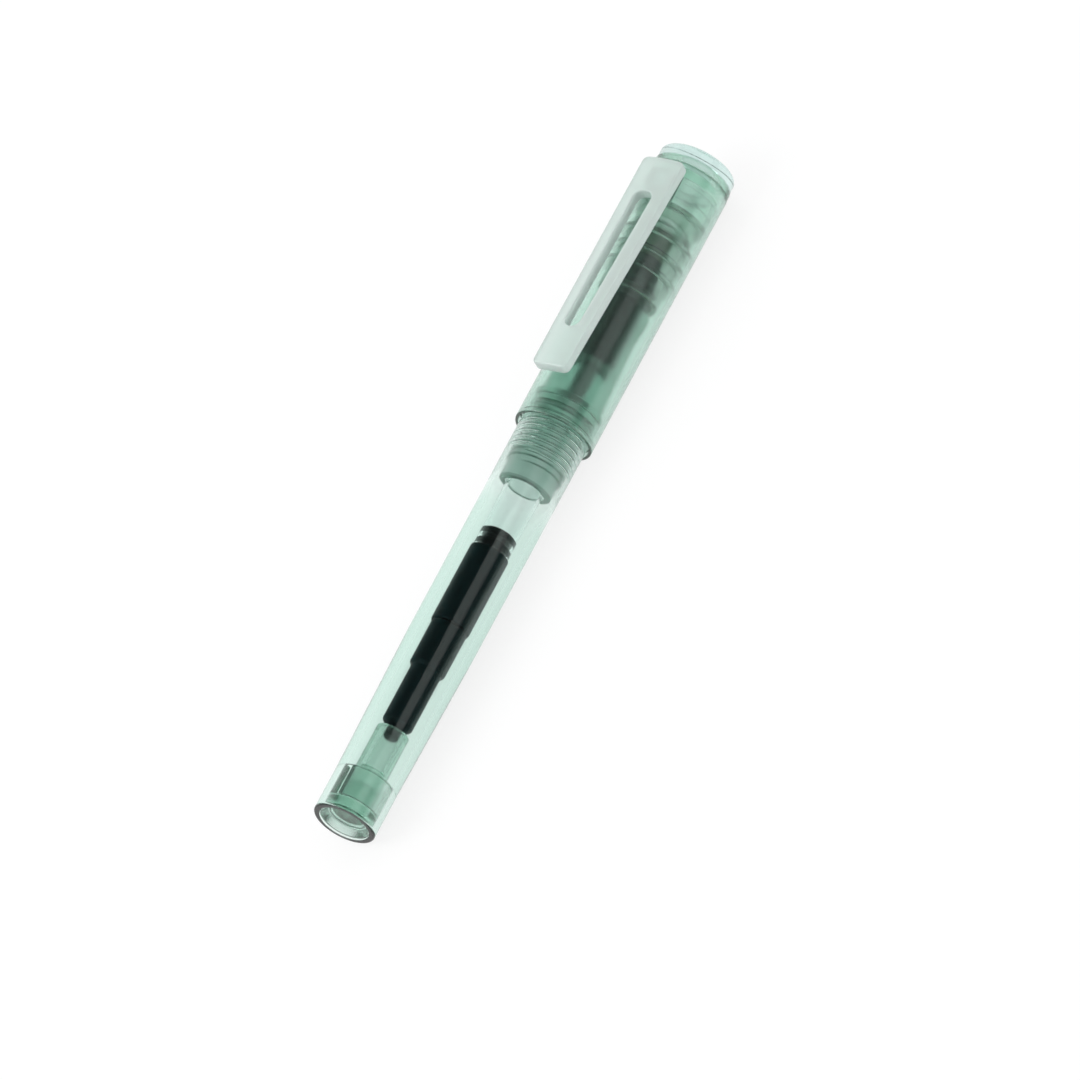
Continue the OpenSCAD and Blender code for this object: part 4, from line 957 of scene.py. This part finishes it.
# the crowned plate with its slot, as rows of points on its upper and lower face
def clipPlate(bm):
    c = clipLook
    slotEnd = c["slotFrom"] + c["slotLength"]
    slotMiddle = (c["slotFrom"] + slotEnd) / 2
    slope = math.atan((c["endGap"] - c["rootGap"]) / c["length"])
    rootRadius = outerRadius("cap_shell") + c["rootGap"]
    top = clipTop()

    def put(along, across, height):
        outward = rootRadius + along * math.sin(slope) + height * math.cos(slope)
        place = top - along * math.cos(slope) + height * math.sin(slope)
        return bm.verts.new((tailX + place * mm, across * mm, axisZ + outward * mm))

    def drop(distance, radius):
        if distance >= radius:
            return 0.0
        return radius - math.sqrt(max(0.0, radius * radius - (radius - max(0, distance)) ** 2))

    upper, lower, inSlot = [], [], []
    for along in clipStations():
        outer = clipHalfWidth(along) - cornerInset(min(along, c["length"] - along), c["corner"])
        fromSlotEnd = min(abs(along - c["slotFrom"]), abs(along - slotEnd))
        inner = slotHalfWidth(along) - cornerInset(fromSlotEnd, c["slotCorner"])
        rail = clipColumns(outer, inner)
        centre = [inner - 2 * inner * i / 8 for i in range(1, 8)]
        row = rail + centre + [-v for v in reversed(rail)]
        highs, lows = [], []
        for across in row:
            toEdge = -roundedBox(
                along, across, c["length"] / 2, c["length"] / 2, clipHalfWidth(along), c["corner"])
            toSlot = roundedBox(
                along, across, slotMiddle, c["slotLength"] / 2, slotHalfWidth(along), c["slotCorner"])
            distance = max(0.0, min(toEdge, toSlot))
            crown = c["thickness"] - c["crown"] + math.sqrt(c["crown"] ** 2 - across ** 2)
            highs.append((along, across, crown - drop(distance, c["topEdge"])))
            lows.append((along, across, drop(distance, c["underEdge"])))
        open_ = c["slotFrom"] < along < slotEnd
        keep = [i for i in range(len(row)) if not (open_ and len(rail) <= i < len(rail) + len(centre))]
        upper.append({i: put(*highs[i]) for i in keep})
        lower.append({i: put(*lows[i]) for i in keep})
        inSlot.append(open_)
    railEnd = len(clipColumns(1, 0)) - 1
    columns = len(upper[0])
    otherRail = columns - 1 - railEnd

    def quad(grid, row, i, flip):
        corners = [grid[row][i], grid[row][i + 1], grid[row + 1][i + 1], grid[row + 1][i]]
        bm.faces.new(reversed(corners) if flip else corners)

    def wall(rowA, i, rowB, j):
        bm.faces.new((upper[rowA][i], upper[rowB][j], lower[rowB][j], lower[rowA][i]))

    last = len(upper) - 1
    for row in range(last):
        gapHere = inSlot[row] or inSlot[row + 1]
        for i in range(columns - 1):
            if gapHere and railEnd <= i < otherRail:
                continue
            quad(upper, row, i, False)
            quad(lower, row, i, True)
        wall(row, 0, row + 1, 0)
        wall(row, columns - 1, row + 1, columns - 1)
        if gapHere:
            wall(row, railEnd, row + 1, railEnd)
            wall(row, otherRail, row + 1, otherRail)
    for i in range(columns - 1):
        wall(0, i, 0, i + 1)
        wall(last, i, last, i + 1)
    ends = [r for r in range(1, last) if inSlot[r] != inSlot[r - 1]]
    for row in (ends[0] - 1, ends[1]):
        for i in range(railEnd, otherRail):
            wall(row, i, row, i + 1)


# the foot and its head, one T-shaped outline drawn across the clip
def clipFoot():
    c = clipLook
    middle = footMiddle()
    under = outerRadius("cap_shell") + c["rootGap"] + c["thickness"] / 2
    half, headHalf = c["footLength"] / 2, c["headLength"] / 2
    bottom = c["headTop"] - c["headThickness"]
    outline = [(-headHalf, bottom), (headHalf, bottom), (headHalf, c["headTop"]), (half, c["headTop"]),
               (half, under), (-half, under), (-half, c["headTop"]), (-headHalf, c["headTop"])]
    bm = bmesh.new()
    sides = []
    for across in (-c["footWidth"] / 2, c["footWidth"] / 2):
        sides.append([
            bm.verts.new((tailX + (middle + along) * mm, across * mm, axisZ + radius * mm))
            for along, radius in outline])
    bm.faces.new(sides[0])
    bm.faces.new(reversed(sides[1]))
    for i in range(len(outline)):
        j = (i + 1) % len(outline)
        bm.faces.new((sides[0][i], sides[1][i], sides[1][j], sides[0][j]))
    bmesh.ops.recalc_face_normals(bm, faces=bm.faces)
    bmesh.ops.bevel(
        bm, geom=bm.edges[:], offset=c["footBevel"] * mm, segments=2, profile=0.5,
        affect="EDGES")
    return finishMesh("clip_foot", bm)


def makeClip():
    bm = bmesh.new()
    clipPlate(bm)
    obj = finishMesh("clip_pale", bm)
    combine(obj, clipFoot(), "UNION")
    show(obj, "clip", "clip", clipPaintedLitGreen)


# make the pieces

makeBarrel()
makeTailPlug()
print("barrel made")
makeGrip()
makeSeals()
makeTip()
makeCollector()
print("grip and tip made")
makeConverter()
print("converter made")
makeCapShell()
makeInnerCap()
makeCapTop()
makeDisc()
makeClip()
print("cap made")

# the rod and its guide keep their CAD shape
for node, material, slotName in (
        ("piston_rod", darkPlastic, "dark_plastic"),
        ("rod_guide", darkPlastic, "dark_plastic")):
    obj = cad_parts[node]
    obj.data.materials.clear()
    obj.data.materials.append(material)

# floor, lamps, camera

studio = dict(
    floorSize=6.0, floorShare=0.80, card=(0.33, -0.42, 0.84), cardCore=48, cardEdge=76, mirrored=0.02,
    through=0.05, ambient=0.9, paper=(0.88, 0.89, 0.89), glow=1.03,
    keyPlace=(-0.9, 0.5, 1.1), keyPower=6.0, keySize=0.9,
    fillPlace=(0.7, -0.9, 0.8), fillPower=1.0, fillSize=0.8)


def makeFloor():
    bm = bmesh.new()
    bmesh.ops.create_grid(bm, x_segments=1, y_segments=1, size=studio["floorSize"] / 2)
    floor = finishMesh("floor", bm)
    material = bpy.data.materials.new("floor_white")
    material.use_nodes = True
    tree = material.node_tree
    tree.nodes.clear()
    out = tree.nodes.new("ShaderNodeOutputMaterial")
    paper = tree.nodes.new("ShaderNodeBsdfDiffuse")
    paper.inputs["Color"].default_value = (*studio["paper"], 1)
    glow = tree.nodes.new("ShaderNodeEmission")
    glow.inputs["Strength"].default_value = studio["glow"]
    path = tree.nodes.new("ShaderNodeLightPath")
    seen = calc(tree, "ADD", path.outputs["Is Camera Ray"], path.outputs["Is Glossy Ray"])
    seen = calc(tree, "ADD", seen, path.outputs["Is Transmission Ray"], clamp=True)
    mix = tree.nodes.new("ShaderNodeMixShader")
    tree.links.new(calc(tree, "MULTIPLY", seen, studio["floorShare"]), mix.inputs[0])
    tree.links.new(paper.outputs[0], mix.inputs[1])
    tree.links.new(glow.outputs[0], mix.inputs[2])
    tree.links.new(mix.outputs[0], out.inputs[0])
    floor.data.materials.append(material)


# white all round but for one dark card, which keeps the dark parts dark behind the clear walls
def makeWorld():
    world = bpy.data.worlds.new("studio")
    scene.world = world
    world.use_nodes = True
    tree = world.node_tree
    tree.nodes.clear()
    out = tree.nodes.new("ShaderNodeOutputWorld")
    background = tree.nodes.new("ShaderNodeBackground")
    place = tree.nodes.new("ShaderNodeTexCoord")
    toCard = tree.nodes.new("ShaderNodeVectorMath")
    toCard.operation = "DOT_PRODUCT"
    toCard.inputs[1].default_value = Vector(studio["card"]).normalized()
    tree.links.new(place.outputs["Generated"], toCard.inputs[0])
    card = tree.nodes.new("ShaderNodeMapRange")
    card.interpolation_type = "SMOOTHSTEP"
    card.inputs["From Min"].default_value = math.cos(math.radians(studio["cardEdge"]))
    card.inputs["From Max"].default_value = math.cos(math.radians(studio["cardCore"]))
    tree.links.new(toCard.outputs["Value"], card.inputs["Value"])

    def darkened(shade):
        return calc(tree, "ADD", calc(tree, "MULTIPLY", card.outputs[0], shade - 1.0), 1.0)

    path = tree.nodes.new("ShaderNodeLightPath")
    through = path.outputs["Is Transmission Ray"]
    mirrored = calc(tree, "SUBTRACT", path.outputs["Is Glossy Ray"], through, clamp=True)
    matt = calc(tree, "SUBTRACT", 1.0, calc(tree, "ADD", mirrored, through, clamp=True))
    parts = (
        calc(tree, "MULTIPLY", darkened(studio["mirrored"]), mirrored),
        calc(tree, "MULTIPLY", darkened(studio["through"]), through),
        calc(tree, "MULTIPLY", matt, studio["ambient"]))
    seen = calc(tree, "ADD", calc(tree, "ADD", parts[0], parts[1]), parts[2])
    camera = path.outputs["Is Camera Ray"]
    strength = calc(tree, "ADD", calc(tree, "MULTIPLY", seen, calc(tree, "SUBTRACT", 1.0, camera)), camera)
    tree.links.new(strength, background.inputs["Strength"])
    background.inputs["Color"].default_value = (1, 1, 1, 1)
    tree.links.new(background.outputs[0], out.inputs[0])


def areaLamp(name, place, aim, size, power):
    data = bpy.data.lights.new(name, "AREA")
    data.shape = "DISK"
    data.size = size
    data.energy = power
    lamp = bpy.data.objects.new(name, data)
    lamp.location = place
    lamp.rotation_euler = (aim - Vector(place)).to_track_quat("-Z", "Y").to_euler()
    scene.collection.objects.link(lamp)


# looks down on the pen from the tail's side; the pen leans to the right of upright
def makeCamera(middle):
    look = dict(back=(-0.415, -0.560, 0.717), distance=5.0, lens=1011.8, lean=math.radians(28.3),
                aimRight=2.96, aimUp=-7.66)
    back = Vector(look["back"]).normalized()
    penWay = (Vector((1, 0, 0)) - back * back.x).normalized()
    aside = penWay.cross(back)
    up = penWay * math.cos(look["lean"]) - aside * math.sin(look["lean"])
    right = penWay * math.sin(look["lean"]) + aside * math.cos(look["lean"])
    target = middle + right * look["aimRight"] * mm + up * look["aimUp"] * mm
    data = bpy.data.cameras.new("camera")
    data.lens = look["lens"]
    data.sensor_width = 36
    data.clip_start = 0.05
    camera = bpy.data.objects.new("camera", data)
    turned = Matrix((right, up, back)).transposed().to_4x4()
    camera.matrix_world = Matrix.Translation(target + back * look["distance"]) @ turned
    scene.collection.objects.link(camera)
    scene.camera = camera


penMiddle = Vector(((cadLow.x + cadHigh.x) / 2, 0, axisZ))
makeFloor()
makeWorld()
areaLamp("key", studio["keyPlace"], penMiddle, studio["keySize"], studio["keyPower"])
areaLamp("fill", studio["fillPlace"], penMiddle, studio["fillSize"], studio["fillPower"])
makeCamera(penMiddle)
scene.view_settings.view_transform = "Standard"
scene.cycles.max_bounces = 40  # a ray crosses many clear walls
scene.cycles.transmission_bounces = 40
scene.cycles.glossy_bounces = 16
print("studio made")
